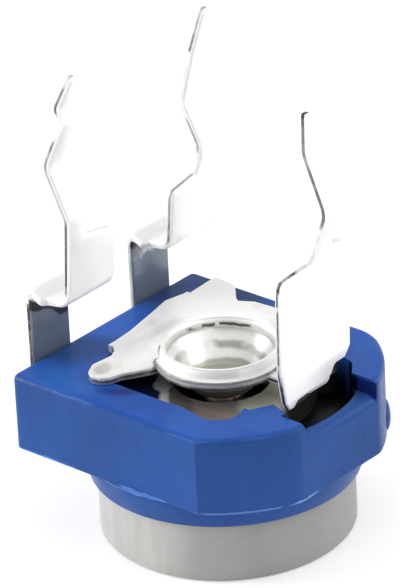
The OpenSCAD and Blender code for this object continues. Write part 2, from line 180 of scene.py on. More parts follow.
def corner_arc(before, at, after, radius, steps):
    """Points of the arc that rounds the corner `at` between its two neighbours."""
    before, at, after = Vector(before), Vector(at), Vector(after)
    incoming, outgoing = (at - before).normalized(), (after - at).normalized()
    turn = math.atan2(incoming.x * outgoing.y - incoming.y * outgoing.x, incoming.dot(outgoing))
    if radius == 0 or abs(turn) < 1e-4:
        return [tuple(at)]
    side = 1 if turn > 0 else -1
    start = at - incoming * radius * math.tan(abs(turn) / 2)
    centre = start + Vector((-incoming.y, incoming.x)) * radius * side
    arm = start - centre
    return [tuple(centre + Matrix.Rotation(turn * k / steps, 2) @ arm) for k in range(steps + 1)]


def rounded(points, steps=8, closed=True):
    """A polyline given as (x, y, corner radius), with its corners rounded."""
    flat = [(p[0], p[1]) for p in points]
    count = len(points)
    result = []
    for i, point in enumerate(points):
        if not closed and i in (0, count - 1):
            result.append(flat[i])
            continue
        radius = point[2] if len(point) > 2 else 0
        result += corner_arc(flat[i - 1], flat[i], flat[(i + 1) % count], radius, steps)
    return result


def polar(radius, angle):
    """Place at a distance from the middle, in a direction given in degrees."""
    return radius * math.cos(math.radians(angle)), radius * math.sin(math.radians(angle))


def arc(radius, start, end, steps, centre=(0.0, 0.0)):
    """Points on a circle from one angle to another, in degrees."""
    places = [polar(radius, start + (end - start) * k / steps) for k in range(steps + 1)]
    return [(centre[0] + x, centre[1] + y) for x, y in places]


def inset(outline, distance):
    """A counter-clockwise outline drawn in by a distance."""
    result = []
    for i, point in enumerate(outline):
        before, at, after = Vector(outline[i - 1]), Vector(point), Vector(outline[(i + 1) % len(outline)])
        one, two = (at - before).normalized(), (after - at).normalized()
        normal = Vector((-one.y - two.y, one.x + two.x)).normalized()
        result.append(tuple(at + normal * distance / max(0.3, normal.dot(Vector((-one.y, one.x))))))
    return result


# ---------------------------------------------------------------- meshes

def new_piece(name, mesh):
    """An object in the scene for a mesh, a curve, a lamp or a camera."""
    piece = bpy.data.objects.new(name, mesh)
    bpy.context.scene.collection.objects.link(piece)
    return piece


def mesh_of(name, build):
    """A mesh that the function `build` fills through bmesh, with its faces turned outwards."""
    mesh = bpy.data.meshes.new(name)
    shape = bmesh.new()
    build(shape)
    bmesh.ops.remove_doubles(shape, verts=shape.verts, dist=1e-5)
    bmesh.ops.recalc_face_normals(shape, faces=shape.faces)
    shape.to_mesh(mesh)
    shape.free()
    return mesh


def stacked(name, layers):
    """A solid through outlines of equal length, given as (height, outline) from the bottom up."""
    def build(shape):
        rings = [[shape.verts.new((x, y, height)) for x, y in outline] for height, outline in layers]
        shape.faces.new(rings[0][::-1])
        shape.faces.new(rings[-1])
        for low, high in zip(rings, rings[1:]):
            for i in range(len(low)):
                j = (i + 1) % len(low)
                shape.faces.new((low[i], low[j], high[j], high[i]))
    return new_piece(name, mesh_of(name, build))


def prism(name, outline, low, high):
    """An upright solid over an outline in X and Y."""
    return stacked(name, [(low, outline), (high, outline)])


def lathe(name, profile, segments=192):
    """A solid of revolution about Z from a closed profile of (radius, height)."""
    def build(shape):
        rings = []
        for radius, height in profile:
            if radius < 1e-6:
                rings.append([shape.verts.new((0, 0, height))])
            else:
                rings.append([shape.verts.new((radius * math.cos(math.tau * k / segments),
                                               radius * math.sin(math.tau * k / segments), height))
                              for k in range(segments)])
        for i, ring in enumerate(rings):
            other = rings[(i + 1) % len(rings)]
            if len(ring) == 1 and len(other) == 1:
                continue
            for k in range(segments):
                n = (k + 1) % segments
                # a ring on the axis is one point, where the face loses a corner
                corners = [line[i % len(line)] for line, i in ((ring, k), (ring, n), (other, n), (other, k))]
                shape.faces.new(list(dict.fromkeys(corners)))
    return new_piece(name, mesh_of(name, build))


def block(name, low, high):
    """A rectangular solid between two corners."""
    outline = [(low[0], low[1]), (high[0], low[1]), (high[0], high[1]), (low[0], high[1])]
    return prism(name, outline, low[2], high[2])


def settle(piece):
    """Turns a piece and its live modifiers into a plain mesh."""
    graph = bpy.context.evaluated_depsgraph_get()
    mesh = bpy.data.meshes.new_from_object(piece.evaluated_get(graph), preserve_all_data_layers=True,
                                           depsgraph=graph)
    piece.modifiers.clear()
    old = piece.data
    piece.data = mesh
    mesh.name = piece.name
    if old.users == 0:
        bpy.data.meshes.remove(old)


def carve(piece, others, operation):
    """Joins solids to a piece, or cuts them out of it."""
    for other in others:
        step = piece.modifiers.new("carve", "BOOLEAN")
        step.operation = operation
        step.solver = "EXACT"
        step.material_mode = "INDEX"
        step.object = other
    settle(piece)
    for other in others:
        old = other.data
        bpy.data.objects.remove(other)
        bpy.data.meshes.remove(old)


def soften_edges(piece, width, segments=3, angle=35.0):
    """Rounds the edges that are sharper than an angle."""
    shape = bmesh.new()
    shape.from_mesh(piece.data)
    bmesh.ops.remove_doubles(shape, verts=shape.verts, dist=1e-4)
    bmesh.ops.dissolve_limit(shape, angle_limit=math.radians(0.5), verts=shape.verts, edges=shape.edges,
                             delimit={"MATERIAL"})
    shape.to_mesh(piece.data)
    shape.free()
    bevel = piece.modifiers.new("edges", "BEVEL")
    bevel.width = width
    bevel.segments = segments
    bevel.limit_method = "ANGLE"
    bevel.angle_limit = math.radians(angle)
    bevel.miter_outer = "MITER_ARC"
    bevel.use_clamp_overlap = True
    settle(piece)


def fill_slots(mesh, materials):
    """Gives a mesh its materials and keeps which face has which."""
    known = [polygon.material_index for polygon in mesh.polygons]
    mesh.materials.clear()
    for material in materials:
        mesh.materials.append(material)
    mesh.polygons.foreach_set("material_index", known)


def dress(piece, materials, body, nodes, sharp=50.0):
    """Scales a finished piece to metres, gives it its materials, smooths it, ties it to its body and hides
    the CAD nodes it replaces.
    """
    mesh = piece.data
    mesh.transform(Matrix.Scale(MM, 4))
    fill_slots(mesh, materials)
    mesh.shade_smooth()
    mesh.set_sharp_from_angle(angle=math.radians(sharp))
    weigh = piece.modifiers.new("weigh", "WEIGHTED_NORMAL")
    weigh.keep_sharp = True
    settle(piece)
    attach(piece, body)
    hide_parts(*nodes)


def add_node(tree, kind, **values):
    """A new node in a tree, with its settings."""
    node = tree.nodes.new(kind)
    for key, value in values.items():
        setattr(node, key, value)
    return node


def new_group(name, kind, inputs, output):
    """A node group with its input and output nodes; an input is given as (name, kind, value or None)."""
    group = bpy.data.node_groups.new(name, kind)
    for title, socket_kind, value in inputs:
        socket = group.interface.new_socket(title, in_out="INPUT", socket_type="NodeSocket" + socket_kind)
        if value is not None:
            socket.default_value = value
    group.interface.new_socket(output[0], in_out="OUTPUT", socket_type="NodeSocket" + output[1])
    return group, add_node(group, "NodeGroupInput"), add_node(group, "NodeGroupOutput")


# ---------------------------------------------------------------- bent sheet

def bend_tree():
    """Node tree that lays a flat blank along a path: its X is the distance along it, its Z the depth."""
    known = bpy.data.node_groups.get("Bend along path")
    if known:
        return known
    tree, source, result = new_group("Bend along path", "GeometryNodeTree", (
        ("Blank", "Geometry", None), ("Path", "Object", None), ("Finish", "Material", None)),
        ("Sheet", "Geometry"))

    def vector_step(operation):
        """A node for one step with vectors."""
        return add_node(tree, "ShaderNodeVectorMath", operation=operation)
    join = tree.links.new
    guide = add_node(tree, "GeometryNodeObjectInfo")
    sample = add_node(tree, "GeometryNodeSampleCurve", mode="LENGTH")
    position, parts = add_node(tree, "GeometryNodeInputPosition"), add_node(tree, "ShaderNodeSeparateXYZ")
    across, square = add_node(tree, "ShaderNodeCombineXYZ"), vector_step("CROSS_PRODUCT")
    depth, level, total = vector_step("SCALE"), vector_step("ADD"), vector_step("ADD")
    place, finish = add_node(tree, "GeometryNodeSetPosition"), add_node(tree, "GeometryNodeSetMaterial")
    realize = add_node(tree, "GeometryNodeRealizeInstances")
    join(source.outputs["Path"], guide.inputs["Object"])
    join(guide.outputs["Geometry"], sample.inputs["Curves"])
    join(position.outputs["Position"], parts.inputs["Vector"])
    join(parts.outputs["X"], sample.inputs["Length"])
    join(parts.outputs["Y"], across.inputs["Y"])
    join(sample.outputs["Position"], level.inputs[0])
    join(across.outputs["Vector"], level.inputs[1])
    join(sample.outputs["Tangent"], square.inputs[0])
    square.inputs[1].default_value = (0, 1, 0)
    join(square.outputs["Vector"], depth.inputs[0])
    join(parts.outputs["Z"], depth.inputs["Scale"])
    join(level.outputs["Vector"], total.inputs[0])
    join(depth.outputs["Vector"], total.inputs[1])
    join(source.outputs["Blank"], place.inputs["Geometry"])
    join(total.outputs["Vector"], place.inputs["Position"])
    join(place.outputs["Geometry"], realize.inputs["Geometry"])
    join(realize.outputs["Geometry"], finish.inputs["Geometry"])
    join(source.outputs["Finish"], finish.inputs["Material"])
    join(finish.outputs["Geometry"], result.inputs["Sheet"])
    return tree


def path_lengths(path):
    """Distance of each point of a path from its start."""
    total, result = 0.0, [0.0]
    for a, b in zip(path, path[1:]):
        total += math.dist(a, b)
        result.append(total)
    return result


def bent_blank(name, path, left, right, settings, finishes, thickness=None, rounding=None):
    """A sheet with rounded rims bent along a path in X and Z, between two edges given as (distance, y)."""
    half, curl = (thickness or settings.thickness / MM) / 2, rounding or settings.edge_radius / MM
    too_close, longest = 0.004, 0.3
    outline = []
    for point in left + right[::-1]:
        if not outline or math.dist(point, outline[-1]) > too_close:
            outline.append(point)
    slant = 0.29 * curl
    turn = [(half, curl), (half - slant, slant), (half - curl, 0)]
    blank = stacked(name, [(-depth, inset(outline, back)) for depth, back in turn]
                    + [(depth, inset(outline, back)) for depth, back in turn[::-1]])
    # cut the blank across wherever its path turns, and often enough in between
    stops = [s for s in path_lengths(path) if left[0][0] < s < left[-1][0]]
    shape = bmesh.new()
    shape.from_mesh(blank.data)
    last = left[0][0]
    for stop in stops + [left[-1][0]]:
        pieces = max(1, math.ceil((stop - last) / longest))
        for k in range(1, pieces + 1):
            bmesh.ops.bisect_plane(shape, geom=shape.verts[:] + shape.edges[:] + shape.faces[:], dist=1e-4,
                                   plane_co=(last + (stop - last) * k / pieces, 0, 0), plane_no=(1, 0, 0))
        last = stop
    shape.to_mesh(blank.data)
    shape.free()
    # the first finish is the sheet's, the second one goes on its sheared edge
    slots = [1 if abs(polygon.normal.z) < 0.2 else 0 for polygon in blank.data.polygons]

    curve = bpy.data.curves.new(name + "_path", "CURVE")
    curve.dimensions = "3D"
    spline = curve.splines.new("POLY")
    spline.points.add(len(path) - 1)
    for point, (x, z) in zip(spline.points, path):
        point.co = (x, 0, z, 1)
    guide = new_piece(name + "_path", curve)

    tree = bend_tree()
    bend = blank.modifiers.new("bend", "NODES")
    bend.node_group = tree
    sockets = {item.name: item.identifier for item in tree.interface.items_tree if item.in_out == "INPUT"}
    bend[sockets["Path"]] = guide
    bend[sockets["Finish"]] = finishes[0]
    settle(blank)
    blank.data.polygons.foreach_set("material_index", slots)
    fill_slots(blank.data, finishes)
    bpy.data.objects.remove(guide)
    bpy.data.curves.remove(curve)
    return blank


def tapered_edges(start, narrow, end, low, width, tip):
    """Left and right edges of a leg that narrows on its right side to its tip, as (distance, y, radius)."""
    return ([(start, low, 0), (end - 0.1, low, 0.1), (end, low + 0.02, 0)],
            [(start, low + width, 0), (narrow, low + width, 0.6), (end - 0.9, low + width * 0.84, 0.5),
             (end - 0.06, low + tip, 0.1), (end, low + tip * 0.85, 0)])


# ---------------------------------------------------------------- materials

def mottle_group():
    """Node group for soft cloudy variation between two values."""
    known = bpy.data.node_groups.get("Mottle")
    if known:
        return known
    group, source, result = new_group("Mottle", "ShaderNodeTree", (
        ("Vector", "Vector", None), ("Scale", "Float", 500.0), ("Detail", "Float", 4.0),
        ("Low", "Float", 0.0), ("High", "Float", 1.0)), ("Value", "Float"))
    join = group.links.new
    noise, spread = add_node(group, "ShaderNodeTexNoise"), add_node(group, "ShaderNodeMapRange", clamp=False)
    spread.inputs["From Min"].default_value, spread.inputs["From Max"].default_value = 0.3, 0.7
    for name in ("Vector", "Scale", "Detail"):
        join(source.outputs[name], noise.inputs[name])
    join(noise.outputs["Fac"], spread.inputs["Value"])
    join(source.outputs["Low"], spread.inputs["To Min"])
    join(source.outputs["High"], spread.inputs["To Max"])
    join(spread.outputs["Result"], result.inputs["Value"])
    return group


def sheet_group():
    """Node group for the normal of rolled sheet: a fine grain over gentle waves, both given as heights."""
    known = bpy.data.node_groups.get("Rolled sheet")
    if known:
        return known
    group, source, result = new_group("Rolled sheet", "ShaderNodeTree", (
        ("Waves", "Float", 0.0), ("Wave height", "Float", 0.006 * MM), ("Grain", "Float", 0.0),
        ("Grain height", "Float", 0.0012 * MM)), ("Normal", "Vector"))
    waves, grain = add_node(group, "ShaderNodeBump"), add_node(group, "ShaderNodeBump")
    join = group.links.new
    for node, name, strength in ((waves, "Wave", 0.4), (grain, "Grain", 0.6)):
        node.inputs["Strength"].default_value = strength
        join(source.outputs[name + " height"], node.inputs["Distance"])
    join(source.outputs["Waves"], waves.inputs["Height"])
    join(source.outputs["Grain"], grain.inputs["Height"])
    join(waves.outputs["Normal"], grain.inputs["Normal"])
    join(grain.outputs["Normal"], result.inputs["Normal"])
    return group


class Finish:
    """A material under construction: a Principled shader fed by nodes, with lengths in millimetres."""

    def __init__(self, name, metallic=0.0, specular=0.5):
        self.material = bpy.data.materials.new(name)
        self.material.use_nodes = True
        self.tree = self.material.node_tree
        self.tree.nodes.clear()
        out, self.shader = self.add("OutputMaterial"), self.add("BsdfPrincipled")
        self.shader.inputs["Metallic"].default_value = metallic
        self.shader.inputs["Specular IOR Level"].default_value = specular
        self.link(self.shader.outputs["BSDF"], out.inputs["Surface"])
        self.place = self.add("TexCoord").outputs["Object"]
        self.x, self.y, self.z = (self.along(way) for way in ((1, 0, 0), (0, 1, 0), (0, 0, 1)))

    def add(self, kind, **values):
        """A new shader node."""
        return add_node(self.tree, "ShaderNode" + kind, **values)

    def link(self, output, socket):
        """Feeds an output to an input."""
        self.tree.links.new(output, socket)

    def put(self, value, socket):
        """Gives an input a number, or another node's output."""
        if isinstance(value, bpy.types.NodeSocket):
            self.link(value, socket)
        else:
            socket.default_value = value

    def stretched(self, scale):
        """Object coordinates drawn out along some axes."""
        node = self.add("Mapping")
        node.inputs["Scale"].default_value = scale
        self.link(self.place, node.inputs["Vector"])
        return node.outputs["Vector"]

    def mottle(self, scale, low, high, detail=4.0, vector=None):
        """Cloudy variation between two values; the scale is in clouds per metre."""
        node = self.add("Group", node_tree=mottle_group())
        self.link(vector or self.place, node.inputs["Vector"])
        for name, number in (("Scale", scale), ("Low", low), ("High", high), ("Detail", detail)):
            node.inputs[name].default_value = number
        return node.outputs["Value"]

    def reckon(self, operation, first, second=0.0):
        """One arithmetic step."""
        node = self.add("Math", operation=operation)
        self.put(first, node.inputs[0])
        self.put(second, node.inputs[1])
        return node.outputs[0]

    def times(self, first, *others):
        """Several values multiplied."""
        for other in others:
            first = self.reckon("MULTIPLY", first, other)
        return first

    def span(self, value, low, high, smooth=False):
        """0 to 1 as a value goes from one number to another."""
        node = self.add("MapRange", interpolation_type="SMOOTHSTEP" if smooth else "LINEAR")
        self.put(value, node.inputs["Value"])
        node.inputs["From Min"].default_value = low
        node.inputs["From Max"].default_value = high
        return node.outputs["Result"]

    def band(self, value, start, full, hold, end):
        """1 between two numbers, falling to 0 outside them."""
        return self.times(self.span(value, start, full), self.span(value, end, hold))

    def close_to(self, value, place, half):
        """1 where a value lies within a distance of a number."""
        line = self.reckon("COMPARE", value, place)
        line.node.inputs[2].default_value = half
        return line

    def away(self, centre=(0.0, 0.0), stretch=(1.0, 1.0), turn=0.0):
        """Distance in X and Y from an upright axis; `stretch` shortens its reach along the turned axes."""
        node = self.add("Mapping", vector_type="TEXTURE")
        node.inputs["Location"].default_value = [c * MM for c in (*centre, 0.0)]
        node.inputs["Rotation"].default_value = (0, 0, turn)
        self.link(self.place, node.inputs["Vector"])
        size = self.add("VectorMath", operation="MULTIPLY")
        self.link(node.outputs[0], size.inputs[0])
        size.inputs[1].default_value = [v / MM for v in (*stretch, 0.0)]
        far = self.add("VectorMath", operation="LENGTH")
        self.link(size.outputs[0], far.inputs[0])
        return far.outputs["Value"]

    def along(self, way):
        """Distance from the middle of the object in one direction."""
        node = self.add("VectorMath", operation="DOT_PRODUCT")
        self.link(self.place, node.inputs[0])
        node.inputs[1].default_value = [part / MM for part in way]
        return node.outputs["Value"]

    def height(self, wander, scale):
        """Height with an uneven shift."""
        return self.reckon("ADD", self.z, self.mottle(scale, -wander, wander))

    def ramp(self, value, stops):
        """Colours at given values, with soft steps between them."""
        low, high = stops[0][0], stops[-1][0]
        node = self.add("ValToRGB")
        marks_and_reflections = node.color_ramp.elements
        for i, (place, tone) in enumerate(stops):
            mark = marks_and_reflections[i] if i < 2 else marks_and_reflections.new(1.0)
            mark.position = (place - low) / (high - low)
            mark.color = (*tone, 1.0) if isinstance(tone, tuple) else (tone, tone, tone, 1.0)
        self.link(self.span(value, low, high), node.inputs[0])
        return node.outputs["Color"]

    def blend(self, mask, first, second, mode="MIX"):
        """A colour between two, each a tone or another node's output, by a mask."""
        # the colours of a Mix node are its inputs 6 and 7 and its output 2
        node = self.add("Mix", data_type="RGBA", blend_type=mode, clamp_factor=True)
        self.put(mask, node.inputs[0])
        for value, socket in ((first, node.inputs[6]), (second, node.inputs[7])):
            self.put(value if isinstance(value, bpy.types.NodeSocket) else (*value, 1.0), socket)
        return node.outputs[2]

    def shaded_back(self, base):
        """A sheet's colour, with painted shade making its back, the side towards -X, darker than its face."""
        parts = self.add("SeparateXYZ")
        self.link(self.place.node.outputs["Normal"], parts.inputs[0])
        return self.blend(self.span(parts.outputs["X"], -0.2, -0.5), base, (0.66, 0.66, 0.67), "MULTIPLY")

    def bump(self, height, distance):
        """Normal of a surface raised by up to a distance."""
        node = self.add("Bump")
        node.inputs["Distance"].default_value = distance * MM
        self.link(height, node.inputs["Height"])
        return node.outputs["Normal"]

    def rolled(self, grain):
        """Normal of rolled sheet with a grain."""
        node = self.add("Group", node_tree=sheet_group())
        self.link(self.mottle(420, 0.0, 1.0, 0.0), node.inputs["Waves"])
        self.link(grain, node.inputs["Grain"])
        return node.outputs["Normal"]

    def feed(self, colour, roughness, normal):
        """Links the colour, roughness and normal to the shader and gives the finished material."""
        for value, name in ((colour, "Base Color"), (roughness, "Roughness"), (normal, "Normal")):
            self.link(value, self.shader.inputs[name])
        return self.material


def shade(tone, factor):
    """A tone made lighter or darker."""
    return tuple(min(1.0, c * factor) for c in tone)


def moulded_blue(tone):
    """Housing plastic: cloudy, with painted shade down in the pocket, painted light and shade on the top, and
    painted highlights along the rim and the parting line.
    """
    finish = Finish("Moulded housing plastic", specular=0.15)
    x, y, z, reach = finish.x, finish.y, finish.z, finish.away()
    parting_z, rim_z, top_z = HOUSING_LOW[2] + 0.715, HOUSING_HIGH[2] - 0.07, HOUSING_HIGH[2]
    flash_and_highlight_blue, bright_highlight_blue = (0.12, 0.27, 0.66), (0.16, 0.33, 0.72)
    base = finish.blend(finish.mottle(300, 0.0, 1.0, 2.0), shade(tone, 0.82), shade(tone, 1.16))
    base = finish.blend(finish.mottle(2600, 0.0, 0.2, 3.0), base, shade(tone, 1.5))
    # painted highlights: broken light lines where the mould closed, partly mould flash, and along the rounded
    # rim, and a brighter one on the front
    outside = finish.span(reach, 3.0, 3.3)
    painted_light = finish.times(finish.span(finish.mottle(620, 0.0, 1.0, 3.0), 0.45, 0.6), outside)
    highlight_spot = finish.span(finish.away((3.74, -1.45), (1.0, 0.45)), 0.3, 0.1, True)
    for place, half, wander, where, strength, light in (
            (parting_z, 0.028, 0.02, painted_light, 0.75, flash_and_highlight_blue), (rim_z, 0.022, 0.02, painted_light, 0.2, flash_and_highlight_blue),
            (parting_z - 0.005, 0.05, 0.05, highlight_spot, 0.85, bright_highlight_blue)):
        line = finish.close_to(finish.height(wander, 2500), place, half)
        base = finish.blend(finish.times(line, where, strength), base, light)
    # little light comes back out of the pocket and the notch
    deep = finish.ramp(z, [(3.38, 0.01), (3.75, 0.10), (4.12, 0.55), (4.34, 1.0)])
    base = finish.blend(finish.reckon("SUBTRACT", 1.0, outside), base, deep, "MULTIPLY")
    ahead = finish.span(x, 2.0, 2.2)
    notch = finish.times(finish.band(reach, 2.3, 2.5, 3.38, 3.46), ahead, finish.span(z, 3.3, 3.36),
                         finish.reckon("LESS_THAN", finish.reckon("ABSOLUTE", y), 1.9))
    deep = finish.ramp(z, [(3.4, 0.01), (3.9, 0.03), (4.2, 0.07), (4.33, 0.25), (4.36, 1.0)])
    base = finish.blend(notch, base, deep, "MULTIPLY")
    # painted shade on the notch's end wall
    end_wall = finish.times(finish.band(y, 1.36, 1.41, 1.45, 1.5), ahead,
                            finish.band(z, 3.85, 3.9, 4.28, 4.34))
    base = finish.blend(end_wall, base, (0.3, 0.25, 0.45), "MULTIPLY")
    # painted light makes the top lighter and bluer than the sides, and painted shadow darkens it behind the
    # far strip
    top = finish.span(z, top_z - 0.06, top_z - 0.01)
    base = finish.blend(top, base, (0.85, 1.17, 1.36), "MULTIPLY")
    dull = finish.reckon("MAXIMUM", finish.times(finish.span(x, -2.7, -3.4), finish.span(y, 0.9, 1.6)),
                         finish.times(finish.span(x, -0.9, -1.5), finish.span(y, 2.65, 2.85)))
    base = finish.blend(finish.times(top, dull), base, (1.15, 0.55, 0.42), "MULTIPLY")
    # painted light and shade in patches of the top: beside the near strip, its near corner, its near rim, and
    # the finger's shadow under the finger
    for centre, stretch, turn, edge, full, tint in (
            ((-3.35, -1.55), (0.9, 0.7), -0.35, 1.0, 0.3, (0.95, 0.72, 0.62)),
            ((-2.75, -2.95), (0.7, 1.3), 0.0, 0.95, 0.4, (1.35, 1.3, 1.12)),
            ((-0.2, -3.0), (0.6, 1.1), 0.1, 1.0, 0.45, (0.6, 0.88, 1.0)),
            ((-1.02, -2.58), (0.8, 1.9), 0.6, 0.6, 0.15, (0.3, 0.36, 0.55))):
        patch = finish.span(finish.away(centre, stretch, turn), edge, full, True)
        base = finish.blend(finish.times(top, patch), base, tint, "MULTIPLY")
    specks = finish.bump(finish.mottle(6500, 0.0, 1.0, 2.0), 0.003)
    return finish.feed(base, finish.mottle(1500, 0.3, 0.46), specks)


def moulded_white(tone):
    """Knob plastic: cool off-white with soft clouds and fine upright tool marks."""
    finish = Finish("Moulded knob plastic", specular=0.55)
    base = finish.blend(finish.mottle(500, 0.0, 1.0, 4.0), shade(tone, 0.93), shade(tone, 1.05))
    # painted light: one side of the knob lighter than the other
    painted_light = finish.ramp(finish.along((-0.75, -0.66, 0.0)), [
        (-3.2, 0.62), (-2.2, 0.60), (-0.67, 0.60), (0.33, 0.78), (1.83, 1.0), (2.5, 0.93), (3.2, 0.87)])
    base = finish.blend(1.0, base, painted_light, "MULTIPLY")
    marks_and_reflections = finish.mottle(2200, 0.0, 0.3, 2.0, finish.stretched((1.0, 1.0, 0.12)))
    base = finish.blend(marks_and_reflections, base, shade(tone, 0.55))
    specks = finish.bump(finish.mottle(5200, 0.0, 1.0, 2.0), 0.003)
    return finish.feed(base, finish.mottle(1200, 0.32, 0.46), specks)


def tinned_sheet(tone, dull):
    """Bright tinned sheet, with painted shade on the inner side of the strips where they leave the housing,
    and painted shade on its back.
    """
    finish = Finish("Tinned sheet", metallic=0.3)
    x, y = finish.x, finish.y
    base = finish.blend(finish.mottle(520, 0.0, 1.0, 4.0), shade(tone, 0.95), shade(tone, 1.03))
    base = finish.blend(finish.mottle(1700, -0.6, 0.16, 3.0), base, (0.76, 0.75, 0.71))
    level = finish.height(0.16, 1100)
    # painted shade: a dark film on the inner side of the strips where they leave the housing
    strip_shade_area = finish.times(finish.span(level, 6.02, 5.96), finish.span(x, -3.975, -3.955),
                        finish.span(x, -3.55, -3.7))
    # the far strip is rubbed bright near its crest
    far = finish.span(y, 1.2, 1.9)
    rub = finish.times(finish.span(finish.mottle(1900, 0.0, 1.0, 5.0), 0.55, 0.85),
                       finish.span(level, 5.1, 5.4), far)
    # the painted shade turns black just under the crest, lower down on the strips' right side
    from_middle = finish.reckon("SUBTRACT", y, finish.times(finish.reckon("SIGN", y), 1.9))
    slope = finish.reckon("ADD", level, finish.times(from_middle, 0.42))
    slope = finish.reckon("SUBTRACT", slope, finish.times(far, 0.3))
    dark = finish.blend(finish.span(slope, 5.46, 5.54), dull, (0.02, 0.02, 0.025))
    base = finish.blend(strip_shade_area, base, finish.blend(rub, dark, (0.75, 0.76, 0.78)))
    grain = finish.mottle(3800, 0.0, 1.0, 3.0, finish.stretched((1.0, 0.16, 0.35)))
    return finish.feed(finish.shaded_back(base), finish.mottle(300, 0.31, 0.37, 1.0), finish.rolled(grain))


def collector_sheet(tone, floor):
    """The collector's sheet: brighter metal, with painted reflections and shade in the dish and inside the
    ring, and painted light on its crest.
    """
    finish = Finish("Collector sheet", metallic=0.36)
    z, reach = finish.z, finish.away()
    base = finish.blend(finish.mottle(520, 0.0, 1.0, 4.0), shade(tone, 0.94), shade(tone, 1.04))
    base = finish.blend(finish.mottle(1500, -1.0, 0.4, 5.0), base, (0.66, 0.65, 0.58))
    inside = finish.span(reach, 1.46, 1.42)
    # painted reflections: darker bands by height in patches inside the ring, and the dish's floor painted
    # dark as shade
    dish_reflections = finish.ramp(finish.height(0.05, 1100), [
        (3.9, floor), (4.04, floor), (4.1, 1.0), (4.2, 1.0), (4.29, 0.42), (4.37, 0.5), (4.44, 1.0),
        (4.56, 0.95), (4.66, 0.6), (4.73, 0.9), (4.85, 1.0)])
    patches = finish.span(finish.mottle(900, 0.0, 1.0, 3.0), 0.2, 0.6)
    base = finish.blend(finish.times(inside, patches), base, dish_reflections, "MULTIPLY")
    base = finish.blend(finish.times(inside, finish.span(z, 4.06, 4.0)), base, floor)
    # painted reflection: broken dark dashes high on the far wall of the dish
    level = finish.height(0.025, 3000)
    broken = finish.span(finish.mottle(2600, 0.0, 1.0, 4.0, finish.stretched((1.0, 1.0, 0.3))), 0.40, 0.48)
    marks_and_reflections = finish.times(finish.band(reach, 1.2, 1.25, 1.40, 1.42),
                         finish.band(level, 4.70, 4.72, 4.77, 4.80),
                         finish.span(finish.along((0.66, -0.75, 0.0)), -1.05, -1.15), broken, 0.9)
    base = finish.blend(marks_and_reflections, base, (0.03, 0.03, 0.028))
    # painted shade on the finger's tip, and painted light on the ring's crest
    tip = finish.span(finish.away((-1.90, -2.24), (1.0, 0.7), 0.25), 0.30, 0.12, True)
    base = finish.blend(finish.times(tip, finish.mottle(1800, 0.5, 1.0, 4.0)), base, (0.52, 0.49, 0.42))
    lit_crest = finish.times(finish.span(z, 4.78, 4.86), finish.span(reach, 1.9, 1.6))
    base = finish.blend(lit_crest, base, (1.0, 1.0, 0.98))
    grain = finish.rolled(finish.mottle(4200, 0.0, 1.0, 3.0))
    return finish.feed(base, finish.mottle(300, 0.35, 0.42, 1.0), grain)


def sheared_edge(name, tone, tones, side, rear=None, wander=0.1):
    """Sheared edge with painted reflections and shade: light in some stretches and dark in others by height,
    up to a place in Y.
    """
    finish = Finish(name, metallic=0.5)
    # painted reflections and shade: the edge's tone by height
    base = finish.ramp(finish.height(wander, 1600), tones)
    base = finish.blend(finish.mottle(2600, 0.0, 0.4, 4.0), base, tone, "MULTIPLY")
    base = finish.blend(finish.mottle(3400, -0.6, 0.5, 3.0), base, (0.6, 0.6, 0.59))
    if rear:
        # painted shade: a dark broken line along the rear corner of the upright plate
        rear_shade = finish.times(finish.span(finish.x, rear + 0.05, rear + 0.02), finish.span(finish.z, 7.8, 7.7),
                            finish.span(finish.mottle(2400, 0.0, 1.0, 4.0), 0.25, 0.5))
        base = finish.blend(rear_shade, base, (0.10, 0.09, 0.08))
    base = finish.blend(finish.span(finish.y, side - 0.04, side + 0.04), base, (0.82, 0.82, 0.8))
    grain = finish.bump(finish.mottle(5200, 0.0, 1.0, 4.0), 0.004)
    return finish.feed(base, finish.mottle(2500, 0.35, 0.55), grain)


def laminate(tone, pale):
    """Laminate board: brown fibres, with bands of painted shade and painted light across it and a paler band.
    """
    finish = Finish("Laminate board", specular=0.3)
    fibres = finish.mottle(2600, 0.0, 1.0, 5.0, finish.stretched((0.25, 1.0, 1.6)))
    across = finish.reckon("ADD", finish.along((0.75, 0.66, 0.0)), finish.mottle(1500, -0.12, 0.12))
    # bands across the board: painted shade in dark blue, painted light, a darker band, the board's tone, a
    # paler band and painted shade in black
    base = finish.ramp(across, [
        (-1.9, (0.006, 0.018, 0.09)), (-1.66, (0.006, 0.015, 0.06)), (-1.56, (0.85, 0.85, 0.82)),
        (-1.36, (0.8, 0.78, 0.72)), (-1.26, (0.19, 0.175, 0.16)), (-0.85, (0.17, 0.14, 0.12)), (-0.72, tone),
        (0.3, tone), (0.45, pale), (1.35, pale), (1.55, (0.02, 0.02, 0.02)), (3.2, (0.015, 0.015, 0.015))])
    base = finish.blend(fibres, finish.blend(1.0, base, (0.72, 0.72, 0.72), "MULTIPLY"), base)
    return finish.feed(base, finish.mottle(1500, 0.42, 0.62), finish.bump(fibres, 0.008))


def grained(name, tone, low, high, scale, roughness, **gloss):
    """A printed finish whose tone varies with a fine grain."""
    finish = Finish(name, **gloss)
    grains = finish.mottle(scale, 0.0, 1.0, 3.0)
    base = finish.blend(grains, shade(tone, low), shade(tone, high))
    return finish.feed(base, finish.mottle(2500, *roughness), finish.bump(grains, 0.003))


def spring_metal(tone):
    """Rolled spring strip, slightly golden."""
    finish = Finish("Spring metal", metallic=1.0)
    base = finish.blend(finish.mottle(1300, 0.0, 1.0, 4.0), shade(tone, 0.8), shade(tone, 1.1))
    grain = finish.bump(finish.mottle(4200, 0.0, 1.0, 3.0), 0.002)
    return finish.feed(base, finish.mottle(1800, 0.2, 0.38), grain)
